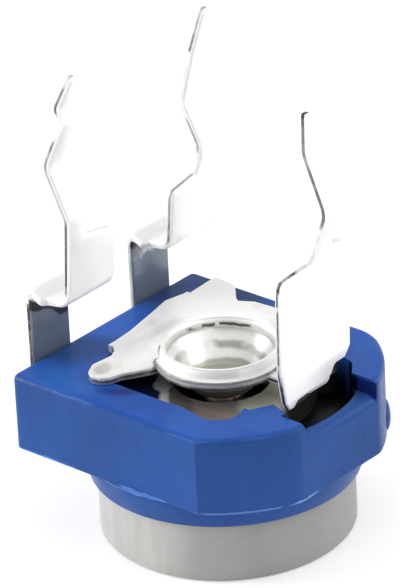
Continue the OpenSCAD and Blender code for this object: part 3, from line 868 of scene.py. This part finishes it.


# Sheared edges: (height, tone) from the bottom up, as stretches of painted reflection and shade, then the
# place in Y past which they are bright, the place in X of a painted dark line and how uneven the heights are,
# where that isn't the usual.
EDGE_TONES = {
    "near": ([
        (4.3, 0.03), (5.85, 0.03), (5.95, 0.9), (6.28, 0.9), (6.42, 0.10), (8.4, 0.14), (8.55, 0.55),
        (9.6, 0.5), (9.9, 0.35), (10.1, 0.5), (10.2, 0.22), (10.45, 0.3), (10.55, 0.85), (11.25, 0.85),
        (11.4, 0.16), (12.0, 0.28), (12.1, 0.7)], -2.05),
    "far": ([
        (4.3, 0.5), (5.9, 0.5), (6.0, 0.85), (6.2, 0.85), (6.35, 0.18), (7.1, 0.34), (7.75, 0.38),
        (7.9, 0.8), (8.35, 0.8), (8.5, 0.4), (9.1, 0.42), (9.3, 0.85), (11.0, 0.88), (11.1, 0.14),
        (11.55, 0.25), (11.7, 0.4), (12.35, 0.45)], 2.95),
    "centre": ([
        (4.3, 0.02), (5.1, 0.04), (5.4, 0.85), (7.55, 0.88), (7.66, 0.04), (7.84, 0.05), (7.9, 0.85),
        (8.85, 0.88), (9.0, 0.3), (9.2, 0.16), (10.3, 0.2), (10.5, 0.5), (10.7, 0.25), (11.5, 0.2),
        (11.65, 0.03)], 0.26, 2.875),
    "collector": ([
        (4.36, 0.6), (4.42, 0.55), (4.45, 0.14), (4.50, 0.18), (4.53, 0.8), (4.59, 0.85), (4.615, 0.3),
        (4.65, 0.3), (4.68, 0.85)], 9.0, None, 0.012),
}


# ---------------------------------------------------------------- pieces
# Places below are in millimetres in the shared frame: X to the facet, Z from the knob's face up.

class TRIMMER_OT_housing(bpy.types.Operator):
    """Build the moulded housing with its collar, bore, pocket and front notch"""
    bl_idname = "trimmer.housing"
    bl_label = "Housing"

    def execute(self, context):
        s = context.scene.trimmer_housing
        body_z = HOUSING_LOW[2] + s.collar_height / MM
        piece = stacked("housing_shell", self.body_layers(s, body_z))
        carve(piece, self.hollows(s, body_z) + self.tongue_ways(context.scene.trimmer_sheet), "DIFFERENCE")
        soften_edges(piece, s.edge_radius / MM, 4, 40)
        carve(piece, [self.collar(s, body_z), self.gate(s, body_z)], "UNION")
        dress(piece, [moulded_blue(tuple(s.tone))], "frame", ["housing"], 25)
        return {"FINISHED"}

    @staticmethod
    def body_layers(s, body_z):
        """Outlines of the body above the collar, as (height, outline), with both rims rounded."""
        half, round_r, soft = s.width / MM / 2, s.round_radius / MM, s.facet_radius / MM
        rear, front, top_z = HOUSING_LOW[0], HOUSING_HIGH[0], HOUSING_HIGH[2]
        rim, low_rim, blend, lead = s.rim_radius / MM, 0.05, 1.3, 2.5
        flat_angle = math.degrees(math.asin(half / round_r))
        facet_angle = math.degrees(math.acos(front / round_r))
        turn_x, turn_y = math.sqrt(round_r ** 2 - half ** 2), math.sqrt(round_r ** 2 - front ** 2)
        # the round stops some degrees before the facet; on the far side a broad blend leads to the flat
        near_side = arc(round_r, -flat_angle, -facet_angle - lead, 24)[1:]
        far_side = [(x, -y) for x, y in near_side[:3:-1]]
        corner_r = rim + 0.01
        outline = rounded([(rear, half, corner_r), (rear, -half, corner_r), (turn_x, -half, 0)] + near_side
                          + [(front, -turn_y, soft), (front, turn_y, soft)] + far_side
                          + [(turn_x, half, blend)], 6)
        quarter = [math.radians(90 * k / 5) for k in range(6)]
        lower = [(body_z + low_rim * (1 - math.cos(a)), inset(outline, low_rim * (1 - math.sin(a))))
                 for a in quarter]
        upper = [(top_z - rim * (1 - math.sin(a)), inset(outline, rim * (1 - math.cos(a)))) for a in quarter]
        return lower + upper

    @staticmethod
    def hollows(s, body_z):
        """Solids that cut the bore, the chamber, the board's pocket, the hollow before it and the sill."""
        start, floor_z, past_top = HOUSING_LOW[2] - 1, BOARD_LOW[2], HOUSING_HIGH[2] + 1
        bore, bore_end, chamber, chamber_end = s.bore_radius / MM, body_z + 0.33, 2.2, floor_z + 0.1
        pocket = TRIMMER_OT_housing.pocket_outline(s)
        front, wall, slack = HOUSING_HIGH[0], 0.28, 0.12
        inner_x, outer_y = front - wall, s.notch_outer / MM + slack
        reach, hollow_x, hollow_y = s.pocket_front / MM, 0.5, 1.5
        lead = math.degrees(math.asin(s.notch_inner / MM / reach))
        wide = math.degrees(math.asin(hollow_y / reach))
        bow = math.degrees(math.asin((s.notch_outer / MM - 0.1) / inner_x))
        shoulder = [(2.95, outer_y, 0.1), (2.62, 1.86, 0.15), (2.3, 1.95, 0.1), (hollow_x, 1.9, 0)]
        hollow = ([(hollow_x, -hollow_y)] + arc(reach, -wide, -lead, 5) + arc(inner_x, -bow, bow, 12)
                  + rounded(shoulder, 4, False))
        sill_z, drop = floor_z + s.sill_height / MM, 0.24
        lip = [(front - drop + drop * math.sin(math.radians(a)),
                sill_z - drop + drop * math.cos(math.radians(a))) for a in range(0, 91, 15)]
        sill = prism("sill", [(inner_x - 0.5, sill_z)] + lip + [
            (front + 1, sill_z - drop), (front + 1, past_top), (inner_x - 0.5, past_top)],
            -outer_y, s.notch_outer / MM)
        sill.data.transform(Matrix.Rotation(math.radians(90), 4, "X"))
        room = [(0, body_z), (chamber, body_z), (chamber, chamber_end), (0, chamber_end)]
        return [lathe("bore", [(0, start), (bore, start), (bore, bore_end), (0, bore_end)]),
                lathe("chamber", room, 96), prism("pocket", pocket, floor_z, past_top),
                prism("hollow", hollow, floor_z, past_top), sill]

    @staticmethod
    def tongue_ways(sheet):
        """Solids that cut the ways of the end terminals' tongues through the rear wall."""
        slack, inner_x = 0.02, -1.1
        low, w = NEAR_LOW[2] - slack, sheet.strip_width / MM / 2 + slack
        high = low + 0.26
        middles = [hand * sheet.strip_pitch / MM / 2 + STRIP_SHIFT for hand in (-1, 1)]
        return [block("way", (HOUSING_LOW[0] - 1, y - w, low), (inner_x, y + w, high)) for y in middles]

    @staticmethod
    def collar(s, body_z):
        """The round collar, with a shelf that rises a little into the body."""
        bore, collar_r, collar_z = s.bore_radius / MM, HOUSING_HIGH[1], HOUSING_LOW[2]
        shelf_r, shelf_z = collar_r - 0.16, body_z + 0.1
        return lathe("collar", rounded([
            (bore, collar_z, 0.04), (collar_r - s.collar_flare / MM, collar_z, 0.05),
            (collar_r, body_z - 0.03, 0.08), (collar_r - 0.03, body_z + 0.02, 0.0),
            (shelf_r, shelf_z, 0), (bore, shelf_z, 0)], 5), 256)

    @staticmethod
    def gate(s, body_z):
        """The low oval bump that the moulding gate leaves on the round side."""
        distance, middle_z = 3.97, body_z + 0.36
        thick, tall, spread = 0.14, 0.4, 3.2
        gate = lathe("gate", [(0, -tall)] + [
            (thick * math.cos(math.radians(a)), tall * math.sin(math.radians(a))) for a in range(-80, 81, 10)]
            + [(0, tall)], 32)
        place = Matrix.Translation((*polar(distance, s.gate_angle), middle_z))
        turn = Matrix.Rotation(math.radians(s.gate_angle), 4, "Z")
        gate.data.transform(place @ turn @ Matrix.Diagonal((1, spread, 1, 1)))
        return gate

    @staticmethod
    def pocket_outline(s):
        """Outline of the pocket: a rear block, a round front and two ears."""
        radius, flat, rear = s.pocket_radius / MM, s.pocket_flat / MM, s.pocket_rear / MM
        ear, far, swing = s.ear_radius / MM, s.ear_distance / MM, 52.0
        ear_end, rear_start, passes = swing + 59, swing + 20, 4
        centre = polar(far, swing)
        # where the round front meets the ear on its front side
        reach = math.degrees(math.acos((radius ** 2 + far ** 2 - ear ** 2) / (2 * radius * far)))
        join = polar(radius, swing - reach)
        start = math.degrees(math.atan2(join[1] - centre[1], join[0] - centre[0]))
        upper = (arc(radius, 0, swing - reach, 10) + arc(ear, start, ear_end, 14, centre)[1:]
                 + arc(radius, rear_start, 90, 5) + [(0, flat), (-rear, flat)])
        # soft transitions between the arcs
        for _ in range(passes):
            upper = [upper[0]] + [((a[0] + 2 * b[0] + c[0]) / 4, (a[1] + 2 * b[1] + c[1]) / 4)
                                  for a, b, c in zip(upper, upper[1:], upper[2:-1])] + upper[-2:]
        lower = [(x, -y) for x, y in upper[::-1]]
        return upper + lower[:-1]


class TRIMMER_OT_knob(bpy.types.Operator):
    """Build the adjusting knob with its snap groove and driver slot"""
    bl_idname = "trimmer.knob"
    bl_label = "Knob"

    def execute(self, context):
        s = context.scene.trimmer_knob
        radius, chamfer = KNOB_HIGH[0], s.chamfer / MM
        groove_r, hub_r = radius - 0.15, 2.05
        groove_z = HOUSING_LOW[2] + 0.17
        groove_end, knob_z = groove_z + 0.3, groove_z + 0.78
        hub_z = knob_z + 0.35
        piece = lathe("knob", rounded([
            (0, 0, 0), (radius - chamfer, 0, 0.05), (radius, chamfer, 0.05), (radius, groove_z, 0.03),
            (groove_r, groove_z, 0.03), (groove_r, groove_end, 0.03), (radius, groove_end, 0.03),
            (radius, knob_z, 0.04), (hub_r, knob_z, 0.03), (hub_r, hub_z, 0.04), (0, hub_z, 0)], 4), 256)
        half, width = s.slot_length / MM / 2, s.slot_width / MM / 2
        # a cross with an arrow head on the side of the X axis
        head, point = half - 2 * width, half + 0.8 * width
        cross = [(-half, -width), (-width, -width), (-width, -half), (width, -half), (width, -width),
                 (head, -width), (head, -2 * width), (point, 0), (head, 2 * width), (head, width),
                 (width, width), (width, half), (-width, half), (-width, width), (-half, width)]
        carve(piece, [prism("slot", cross, -1, s.slot_depth / MM)], "DIFFERENCE")
        soften_edges(piece, s.edge_radius / MM, 2, 50)
        dress(piece, [moulded_white(tuple(s.tone))], "rotor", ["rotor_knob"])
        return {"FINISHED"}


class TRIMMER_OT_end_terminals(bpy.types.Operator):
    """Build the two end terminals as flat blanks bent along their paths"""
    bl_idname = "trimmer.end_terminals"
    bl_label = "End terminals"

    # Mid-lines of the end terminals from the strip's crest up, as (x, z, bend radius).
    CREST = [(-3.99, 6.24, 0.12), (-3.58, 6.0, 0.3), (-2.83, 6.12, 0.35), (-2.755, 7.0, 0.5)]
    RISES = {
        "near": CREST + [(-2.655, 8.42, 0.35), (-3.27, 9.72, 0.5), (-2.66, 11.0, 0.3), (-2.79, 11.40, 0.25),
                         (-2.29, 12.34, 0)],
        "far": CREST + [(-2.60, 8.60, 0.25), (-3.13, 9.62, 0.55), (-2.72, 11.1, 0.3), (-2.28, 12.34, 0)],
    }
    # Outer and inner edge of each end plate in Y.
    PLATES = {"near": (-2.41, -0.70), "far": (3.03, 1.45)}
    # Places on the mid-line, as (x, z): the foot of the plate, and where the strip widens into it.
    FOOT, WIDENS = (-2.77, 6.9), (-3.32, 6.03)

    def execute(self, context):
        s = context.scene.trimmer_sheet
        for side, name in ((-1, "near"), (1, "far")):
            path, left, right = self.blank(s, side, name)
            finishes = [finish_named("sheet", context), finish_named(name, context)]
            piece = bent_blank("terminal_" + name, path, left, right, s, finishes)
            dress(piece, finishes, "frame", ["end_terminal_" + name])
        return {"FINISHED"}

    def blank(self, s, side, name):
        """Path of a terminal's mid-line and the left and right edges of its blank."""
        sheet, leg_w = s.thickness / MM, s.leg_width / MM
        strip_x = HOUSING_LOW[0] - 0.03 - sheet / 2
        tongue_x, tongue_z = -1.15, BOARD_LOW[2] - 0.04 - sheet / 2
        path = rounded([(tongue_x, tongue_z), (strip_x, tongue_z, 0.16)] + self.RISES[name], 8, False)
        lengths = path_lengths(path)

        def distance(place):
            """Distance along the path of its point nearest to a place."""
            return min(zip(path, lengths), key=lambda item: math.dist(item[0], place))[1]
        foot, widens = distance(self.FOOT), distance(self.WIDENS)
        plate_z = HOUSING_HIGH[2] + s.plate_top / MM
        top = foot + plate_z - path[lengths.index(foot)][1]
        strip_y, w = side * s.strip_pitch / MM / 2 + STRIP_SHIFT, s.strip_width / MM / 2
        outer, inner = self.PLATES[name]
        strip_outer, strip_inner, leg_inner = strip_y + side * w, strip_y - side * w, outer - side * leg_w
        legs = tapered_edges(top + 0.35, top + 2.0, lengths[-1], min(outer, leg_inner), leg_w,
                             s.tip_width / MM)
        straight = [(0, strip_outer, 0), (widens - 0.1, strip_outer, 0.1), (widens + 0.05, outer, 0.05)]
        stepped = [(0, strip_inner, 0), (widens - 0.1, strip_inner, 0.05), (widens + 0.05, inner, 0.05),
                   (top - 0.2, inner, 0.2), (top - 0.02, outer - side * (leg_w + 0.15), 0.12),
                   (top + 0.28, leg_inner, 0.15)]
        left, right = (straight, stepped) if side < 0 else (stepped, straight)
        return path, rounded(left + legs[0], 5, False), rounded(right + legs[1], 5, False)


def finish_named(which, context):
    """A finish of the metal pieces, made once: the sheet, the dish, or one of the sheared edges."""
    title = {"sheet": "Tinned sheet", "dish": "Collector sheet"}.get(which, "Sheared edge, " + which)
    known = bpy.data.materials.get(title)
    if known:
        return known
    s, c = context.scene.trimmer_sheet, context.scene.trimmer_collector
    if which == "sheet":
        return tinned_sheet(tuple(s.tone), tuple(s.strip_shade_tone))
    if which == "dish":
        return collector_sheet(tuple(c.tone), tuple(c.floor_shade_tone))
    return sheared_edge(title, tuple(s.edge_tone), *EDGE_TONES[which])


class TRIMMER_OT_collector(bpy.types.Operator):
    """Build the collector plate with its ring and dish, the upright plate and the centre leg"""
    bl_idname = "trimmer.collector"
    bl_label = "Collector and centre terminal"

    # The finishes of its slots, in order, and the slots of the flat plate's face and sheared side.
    FINISHES = ("sheet", "centre", "dish", "collector")
    FACE, SIDE = 2, 3
    # Outline of the flat plate as (x, y, corner radius); what lies under the ring is cut away later.
    OUTLINE = [
        (-2.86, 3.20, 0.04), (-2.81, 2.15, 0.06), (-2.91, 2.01, 0.08), (-3.04, 1.45, 0.3), (-2.88, 0.69, 0.3),
        (-2.69, -0.30, 0.3), (-2.64, -0.92, 0.06), (-2.53, -1.16, 0.06), (-2.31, -1.33, 0.06),
        (-2.20, -1.58, 0.06), (-2.22, -1.78, 0.1), (-2.27, -2.20, 0.2), (-2.11, -2.54, 0.2),
        (-1.88, -2.69, 0.12), (-1.63, -2.64, 0.12), (-1.46, -2.46, 0.12), (-1.36, -2.14, 0.15),
        (-1.17, -1.87, 0.15), (-0.97, -1.54, 0.05), (-0.4, 0, 0), (1.55, 0.6, 0), (1.35, 1.6, 0.8),
        (0.3, 2.72, 0.9), (-0.63, 2.74, 0.2), (-1.15, 2.70, 0.2), (-1.53, 2.50, 0.05), (-1.71, 2.64, 0.05),
        (-2.16, 3.14, 0.06)]
    # Mid-line of the upright plate and the centre leg, as (x, z, bend radius).
    RISE = [(2.91, 4.42), (2.90, 7.9, 0.3), (3.42, 9.3, 0.6), (2.83, 10.75, 0.7), (2.85, 11.8)]
    # Edges of the upright plate as (height, y, corner radius), below and beside the leg.
    LEFT = [(4.42, -1.02, 0), (4.62, -1.13, 0.15), (5.4, -1.25, 0.4), (7.5, -1.19, 0.3), (7.84, -1.15, 0.2),
            (7.88, -0.5, 0.1), (7.91, -0.08, 0.08), (8.2, 0.055, 0.12), (8.3, 0.055, 0)]
    RIGHT = [(4.42, -0.86, 0), (4.55, -0.70, 0.1), (4.60, -0.2, 0.2), (4.62, 0.31, 0.1), (4.71, 0.58, 0.09),
             (4.94, 0.74, 0.1), (4.95, 1.12, 0.1), (5.2, 1.34, 0.12), (7.62, 1.44, 0.3), (8.08, 1.22, 0.25),
             (8.24, 0.88, 0.12), (8.28, 0.66, 0.08), (8.5, 0.555, 0.1)]
    # Where the plate's two prongs go down into the housing, as (x, y).
    PRONGS = [(-2.55, -0.95), (-2.82, 1.95)]

    def execute(self, context):
        sheet, s = context.scene.trimmer_sheet, context.scene.trimmer_collector
        finishes = [finish_named(which, context) for which in self.FINISHES]
        top_z = HOUSING_HIGH[2]
        face_z = top_z + sheet.thickness / MM
        ring_r, crest_z = s.ring_radius / MM, face_z + s.ring_height / MM
        piece = prism("collector", rounded(self.OUTLINE, 6), top_z, face_z)
        for polygon in piece.data.polygons:
            polygon.material_index = self.SIDE if abs(polygon.normal.z) < 0.5 else self.FACE
        soften_edges(piece, sheet.edge_radius / MM, 2, 60)
        carve(piece, self.prongs(sheet, face_z) + [self.swell(face_z, crest_z)], "UNION")
        hole_r, hole_z = ring_r - 0.1, face_z + 0.05
        hole = lathe("hole", [(0, top_z - 1), (hole_r, top_z - 1), (hole_r, hole_z), (0, hole_z)])
        carve(piece, [hole], "DIFFERENCE")
        dish = self.dish(sheet, s, face_z, crest_z)
        link, upright = self.link(sheet, s, finishes), self.upright(sheet, finishes)
        for part in (piece, dish):
            fill_slots(part.data, finishes)
        carve(piece, [dish, link, upright], "UNION")
        dress(piece, finishes, "frame", ["centre_terminal"], 40)
        return {"FINISHED"}

    def prongs(self, sheet, face_z):
        """The two prongs under the plate's rear edge."""
        half, half_width, depth = sheet.thickness / MM / 2, 0.225, HOUSING_HIGH[2] - 0.8
        prongs = [block("prong", (x - half, y - half_width, depth), (x + half, y + half_width, face_z - 0.02))
                  for x, y in self.PRONGS]
        for prong in prongs:
            soften_edges(prong, 0.03, 2)
        return prongs

    def swell(self, face_z, crest_z):
        """The sheet's gentle rise to the ring on its rear side, lower towards the plate's cut edges."""
        top_z, inner_r, outer_r = HOUSING_HIGH[2], 1.46, 2.6
        swell = lathe("swell", rounded([
            (inner_r, top_z + 0.05, 0), (outer_r, top_z + 0.05, 0), (outer_r, face_z - 0.01, 0),
            (2.42, face_z + 0.002, 0.5), (1.75, crest_z - 0.09, 0.5), (1.56, crest_z - 0.02, 0.1),
            (inner_r, crest_z - 0.004, 0)], 6), 256)
        # the rise starts at the first angle, is whole between the fades and ends at the last angle
        first, last, first_fade, last_fade = 50, 239, 45, 26
        for vertex in swell.data.vertices:
            if vertex.co.z > face_z:
                turn = math.degrees(math.atan2(vertex.co.y, vertex.co.x)) % 360
                share = max(0.0, min(1.0, (turn - first) / first_fade, (last - turn) / last_fade))
                vertex.co.z = face_z - 0.005 + (vertex.co.z - face_z) * share * share * (3 - 2 * share)
        area = prism("area", inset(rounded(self.OUTLINE, 6), 0.03), top_z - 0.5, crest_z + 1)
        carve(swell, [area], "INTERSECT")
        swell.data.polygons.foreach_set("material_index", [self.FACE] * len(swell.data.polygons))
        return swell

    def dish(self, sheet, s, face_z, crest_z):
        """The ring with its rounded top and the dish within it."""
        top_z, ring_r, dish_r = HOUSING_HIGH[2], s.ring_radius / MM, s.dish_radius / MM
        dish_z, lip = face_z - s.dish_depth / MM, ring_r - s.ring_width / MM
        under_z = dish_z - 0.8 * (sheet.thickness / MM)
        dish = lathe("dish", rounded([
            (0, dish_z, 0), (dish_r, dish_z, 0.12), (lip - 0.05, face_z + 0.05, 0.08),
            (lip, face_z + 0.24, 0.06), (lip + 0.06, crest_z, 0.08), (ring_r - 0.2, crest_z, 0.1),
            (ring_r - 0.09, face_z + 0.08, 0.14), (ring_r, face_z + 0.06, 0.03), (ring_r, top_z + 0.07, 0.04),
            (lip - 0.12, top_z + 0.04, 0.06), (dish_r - 0.02, under_z, 0.2), (0, under_z, 0)], 8), 256)
        for polygon in dish.data.polygons:
            middle = polygon.center
            outer = math.hypot(middle.x, middle.y) > ring_r - 0.03 and middle.z < face_z + 0.08
            polygon.material_index = self.SIDE if outer else self.FACE
        return dish

    def link(self, sheet, s, finishes):
        """The narrow link from the ring to the upright plate, with its bend."""
        thickness, half, y = sheet.thickness / MM, s.link_width / MM / 2, 0.2
        sheet_z, upright_x = HOUSING_HIGH[2] + thickness / 2, self.RISE[0][0]
        path = rounded([(s.ring_radius / MM - 0.08, sheet_z), (upright_x, sheet_z, 0.25),
                        (upright_x, sheet_z + 0.32)], 8, False)
        end = path_lengths(path)[-1]
        return bent_blank("link", path, [(0, y - half), (end, y - half)], [(0, y + half), (end, y + half)],
                          sheet, finishes, thickness - 0.012)

    def upright(self, sheet, finishes):
        """The upright plate with the kinked centre leg on it."""
        path, start_z = rounded(self.RISE, 8, False), self.RISE[0][1]
        leg_y, leg_w, leg_start = 0.055, 0.5, self.LEFT[-1][0] - start_z
        legs = tapered_edges(leg_start + 0.25, leg_start + 1.6, path_lengths(path)[-1], leg_y, leg_w,
                             sheet.tip_width / MM)
        left, right = [rounded([(z - start_z, y, r) for z, y, r in edge] + leg, 5, False)
                       for edge, leg in zip((self.LEFT, self.RIGHT), legs)]
        return bent_blank("upright", path, left, right, sheet, finishes, rounding=0.06)


class TRIMMER_OT_inner_parts(bpy.types.Operator):
    """Give the board, the printed track and pads and the wiper spring their finishes"""
    bl_idname = "trimmer.inner_parts"
    bl_label = "Inner parts"

    def execute(self, context):
        s = context.scene.trimmer_board
        silver = grained("Silver print", tuple(s.silver_tone), 0.85, 1.1, 6000, (0.4, 0.6), metallic=1.0)
        carbon = grained("Carbon print", tuple(s.carbon_tone), 0.7, 1.8, 7000, (0.5, 0.7), specular=0.3)
        finishes = {"element_board": laminate(tuple(s.tone), tuple(s.pale_tone)), "carbon_track": carbon,
                    "end_pad_near": silver, "end_pad_far": silver,
                    "wiper_spring": spring_metal(tuple(s.spring_tone))}
        for node, material in finishes.items():
            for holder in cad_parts[node].material_slots:
                holder.material = material
        return {"FINISHED"}


class TRIMMER_OT_stage(bpy.types.Operator):
    """Set up the floor, the lamps, the surrounding light and the camera"""
    bl_idname = "trimmer.stage"
    bl_label = "Stage"

    # Each lamp's name, its place and its size in metres, and the point that all of them face.
    LAMPS = (("Key", (-0.30, -0.17, 0.09), 0.17), ("Fill", (0.25, 0.14, 0.19), 0.22),
             ("Top", (0.06, -0.04, 0.36), 0.3))
    LIT_POINT = Vector((0, 0, 0.004))

    def execute(self, context):
        s = context.scene.trimmer_stage
        scene = context.scene
        scene.view_settings.view_transform = "Standard"
        self.floor()
        self.surround(scene, s)
        for name, place, size in self.LAMPS:
            self.lamp(name, place, size, getattr(s, name.lower()))
        self.camera(scene, s)
        return {"FINISHED"}

    @staticmethod
    def floor():
        """A pale matt floor that also glows a little for the camera and in gloss."""
        half, gap = 1.5, 1e-6
        mesh = bpy.data.meshes.new("floor")
        mesh.from_pydata([(-half, -half, 0), (half, -half, 0), (half, half, 0), (-half, half, 0)], [],
                         [(0, 1, 2, 3)])
        mesh.transform(Matrix.Translation((0, 0, KNOB_LOW[2] * MM - gap)))
        floor = new_piece("floor", mesh)
        material = bpy.data.materials.new("Pale floor")
        material.use_nodes = True
        tree = material.node_tree
        tree.nodes.clear()
        join = tree.links.new
        out, both = add_node(tree, "ShaderNodeOutputMaterial"), add_node(tree, "ShaderNodeAddShader")
        matt, glow = add_node(tree, "ShaderNodeBsdfDiffuse"), add_node(tree, "ShaderNodeEmission")
        rays = add_node(tree, "ShaderNodeLightPath")
        seen = add_node(tree, "ShaderNodeMath", operation="MAXIMUM")
        scale = add_node(tree, "ShaderNodeMath", operation="MULTIPLY")
        scale.inputs[1].default_value = 0.3
        matt.inputs["Color"].default_value = (0.9, 0.9, 0.9, 1)
        join(rays.outputs["Is Camera Ray"], seen.inputs[0])
        join(rays.outputs["Is Glossy Ray"], seen.inputs[1])
        join(seen.outputs[0], scale.inputs[0])
        join(scale.outputs[0], glow.inputs["Strength"])
        join(matt.outputs[0], both.inputs[0])
        join(glow.outputs[0], both.inputs[1])
        join(both.outputs[0], out.inputs["Surface"])
        mesh.materials.append(material)

    @staticmethod
    def surround(scene, s):
        """Even light, seen white, with the dim side of the room showing only in gloss."""
        world = bpy.data.worlds.new("Surround")
        scene.world = world
        world.use_nodes = True
        tree = world.node_tree
        tree.nodes.clear()
        join = tree.links.new

        def add(kind, **values):
            return add_node(tree, "ShaderNode" + kind, **values)

        def ranged(value, low, high):
            node = add("MapRange", interpolation_type="SMOOTHSTEP")
            join(value, node.inputs["Value"])
            node.inputs["From Min"].default_value = low
            node.inputs["From Max"].default_value = high
            return node.outputs["Result"]

        def times(first, second):
            node = add("Math", operation="MULTIPLY")
            join(first, node.inputs[0])
            join(second, node.inputs[1])
            return node.outputs[0]
        out, rays = add("OutputWorld"), add("LightPath")
        way, parts, facing = add("TexCoord"), add("SeparateXYZ"), add("VectorMath", operation="DOT_PRODUCT")
        join(way.outputs["Generated"], parts.inputs[0])
        join(way.outputs["Generated"], facing.inputs[0])
        facing.inputs[1].default_value = (math.sin(s.azimuth), -math.cos(s.azimuth), 0)
        rise = parts.outputs["Z"]
        towards = facing.outputs["Value"]
        dim = times(times(ranged(rise, 0.05, 0.14), ranged(rise, 0.55, 0.42)), ranged(towards, 0.7, 0.85))
        back = times(times(ranged(rise, 0.05, 0.2), ranged(rise, 0.9, 0.7)), ranged(towards, -0.3, -0.7))
        tint, shadow = add("MixRGB"), add("MixRGB")
        join(back, shadow.inputs["Fac"])
        shadow.inputs["Color1"].default_value = (1, 1, 1, 1)
        shadow.inputs["Color2"].default_value = (0.86, 0.86, 0.86, 1)
        join(dim, tint.inputs["Fac"])
        join(shadow.outputs[0], tint.inputs["Color1"])
        tint.inputs["Color2"].default_value = (0.12, 0.12, 0.12, 1)
        plain, white, gloss = add("Background"), add("Background"), add("Background")
        # the even light is stronger from above
        high = add("MapRange")
        join(rise, high.inputs["Value"])
        for name, value in (("From Min", 0.1), ("From Max", 1.0), ("To Min", s.surround),
                            ("To Max", s.surround * 1.9)):
            high.inputs[name].default_value = value
        join(high.outputs["Result"], plain.inputs["Strength"])
        for node in (plain, white):
            node.inputs["Color"].default_value = (1, 1, 1, 1)
        join(tint.outputs[0], gloss.inputs["Color"])
        first, second = add("MixShader"), add("MixShader")
        join(rays.outputs["Is Glossy Ray"], first.inputs[0])
        join(plain.outputs[0], first.inputs[1])
        join(gloss.outputs[0], first.inputs[2])
        join(rays.outputs["Is Camera Ray"], second.inputs[0])
        join(first.outputs[0], second.inputs[1])
        join(white.outputs[0], second.inputs[2])
        join(second.outputs[0], out.inputs["Surface"])

    def lamp(self, name, place, size, power):
        """A square lamp turned to the trimmer."""
        data = bpy.data.lights.new(name, "AREA")
        data.energy = power
        data.size = size
        lamp = new_piece(name, data)
        lamp.location = place
        lamp.rotation_euler = (self.LIT_POINT - Vector(place)).to_track_quat("-Z", "Y").to_euler()

    @staticmethod
    def camera(scene, s):
        """A camera that looks along the stage's direction, moved aside and up, and tilted."""
        flat = math.cos(s.elevation)
        back = Vector((math.sin(s.azimuth) * flat, -math.cos(s.azimuth) * flat, math.sin(s.elevation)))
        level = Vector((math.cos(s.azimuth), math.sin(s.azimuth), 0))
        rise = back.cross(level)
        right = level * math.cos(s.roll) + rise * math.sin(s.roll)
        up = rise * math.cos(s.roll) - level * math.sin(s.roll)
        data = bpy.data.cameras.new("Camera")
        data.sensor_fit = "VERTICAL"
        data.sensor_height = 36
        data.lens = s.lens
        data.clip_start = 0.005
        camera = new_piece("Camera", data)
        place = back * s.distance + right * s.aside + up * s.above
        rows = [(right[i], up[i], back[i], place[i]) for i in range(3)]
        camera.matrix_world = Matrix(rows + [(0, 0, 0, 1)])
        scene.camera = camera


# ---------------------------------------------------------------- panel

SETTINGS = (("trimmer_housing", HousingSettings), ("trimmer_knob", KnobSettings),
            ("trimmer_sheet", SheetSettings), ("trimmer_collector", CollectorSettings),
            ("trimmer_board", BoardSettings), ("trimmer_stage", StageSettings))
STEPS = (TRIMMER_OT_housing, TRIMMER_OT_knob, TRIMMER_OT_end_terminals, TRIMMER_OT_collector,
         TRIMMER_OT_inner_parts, TRIMMER_OT_stage)


class TRIMMER_PT_panel(bpy.types.Panel):
    """Lists the steps that build the trimmer and the settings of each"""
    bl_idname = "TRIMMER_PT_panel"
    bl_label = "Trimmer potentiometer"
    bl_space_type = "VIEW_3D"
    bl_region_type = "UI"
    bl_category = "Trimmer"

    def draw(self, context):
        for step in STEPS:
            self.layout.operator(step.bl_idname)
        for name, group in SETTINGS:
            box = self.layout.box()
            box.label(text=group.__name__.replace("Settings", ""))
            for key in group.__annotations__:
                box.prop(getattr(context.scene, name), key)


CLASSES = [group for _, group in SETTINGS] + list(STEPS) + [TRIMMER_PT_panel]


def register():
    for cls in CLASSES:
        bpy.utils.register_class(cls)
    for name, group in SETTINGS:
        setattr(bpy.types.Scene, name, PointerProperty(type=group))


def unregister():
    for name, _ in SETTINGS:
        delattr(bpy.types.Scene, name)
    for cls in reversed(CLASSES):
        bpy.utils.unregister_class(cls)


def main():
    register()
    for step in STEPS:
        group, name = step.bl_idname.split(".")
        getattr(getattr(bpy.ops, group), name)()


if __name__ == "__main__":
    main()
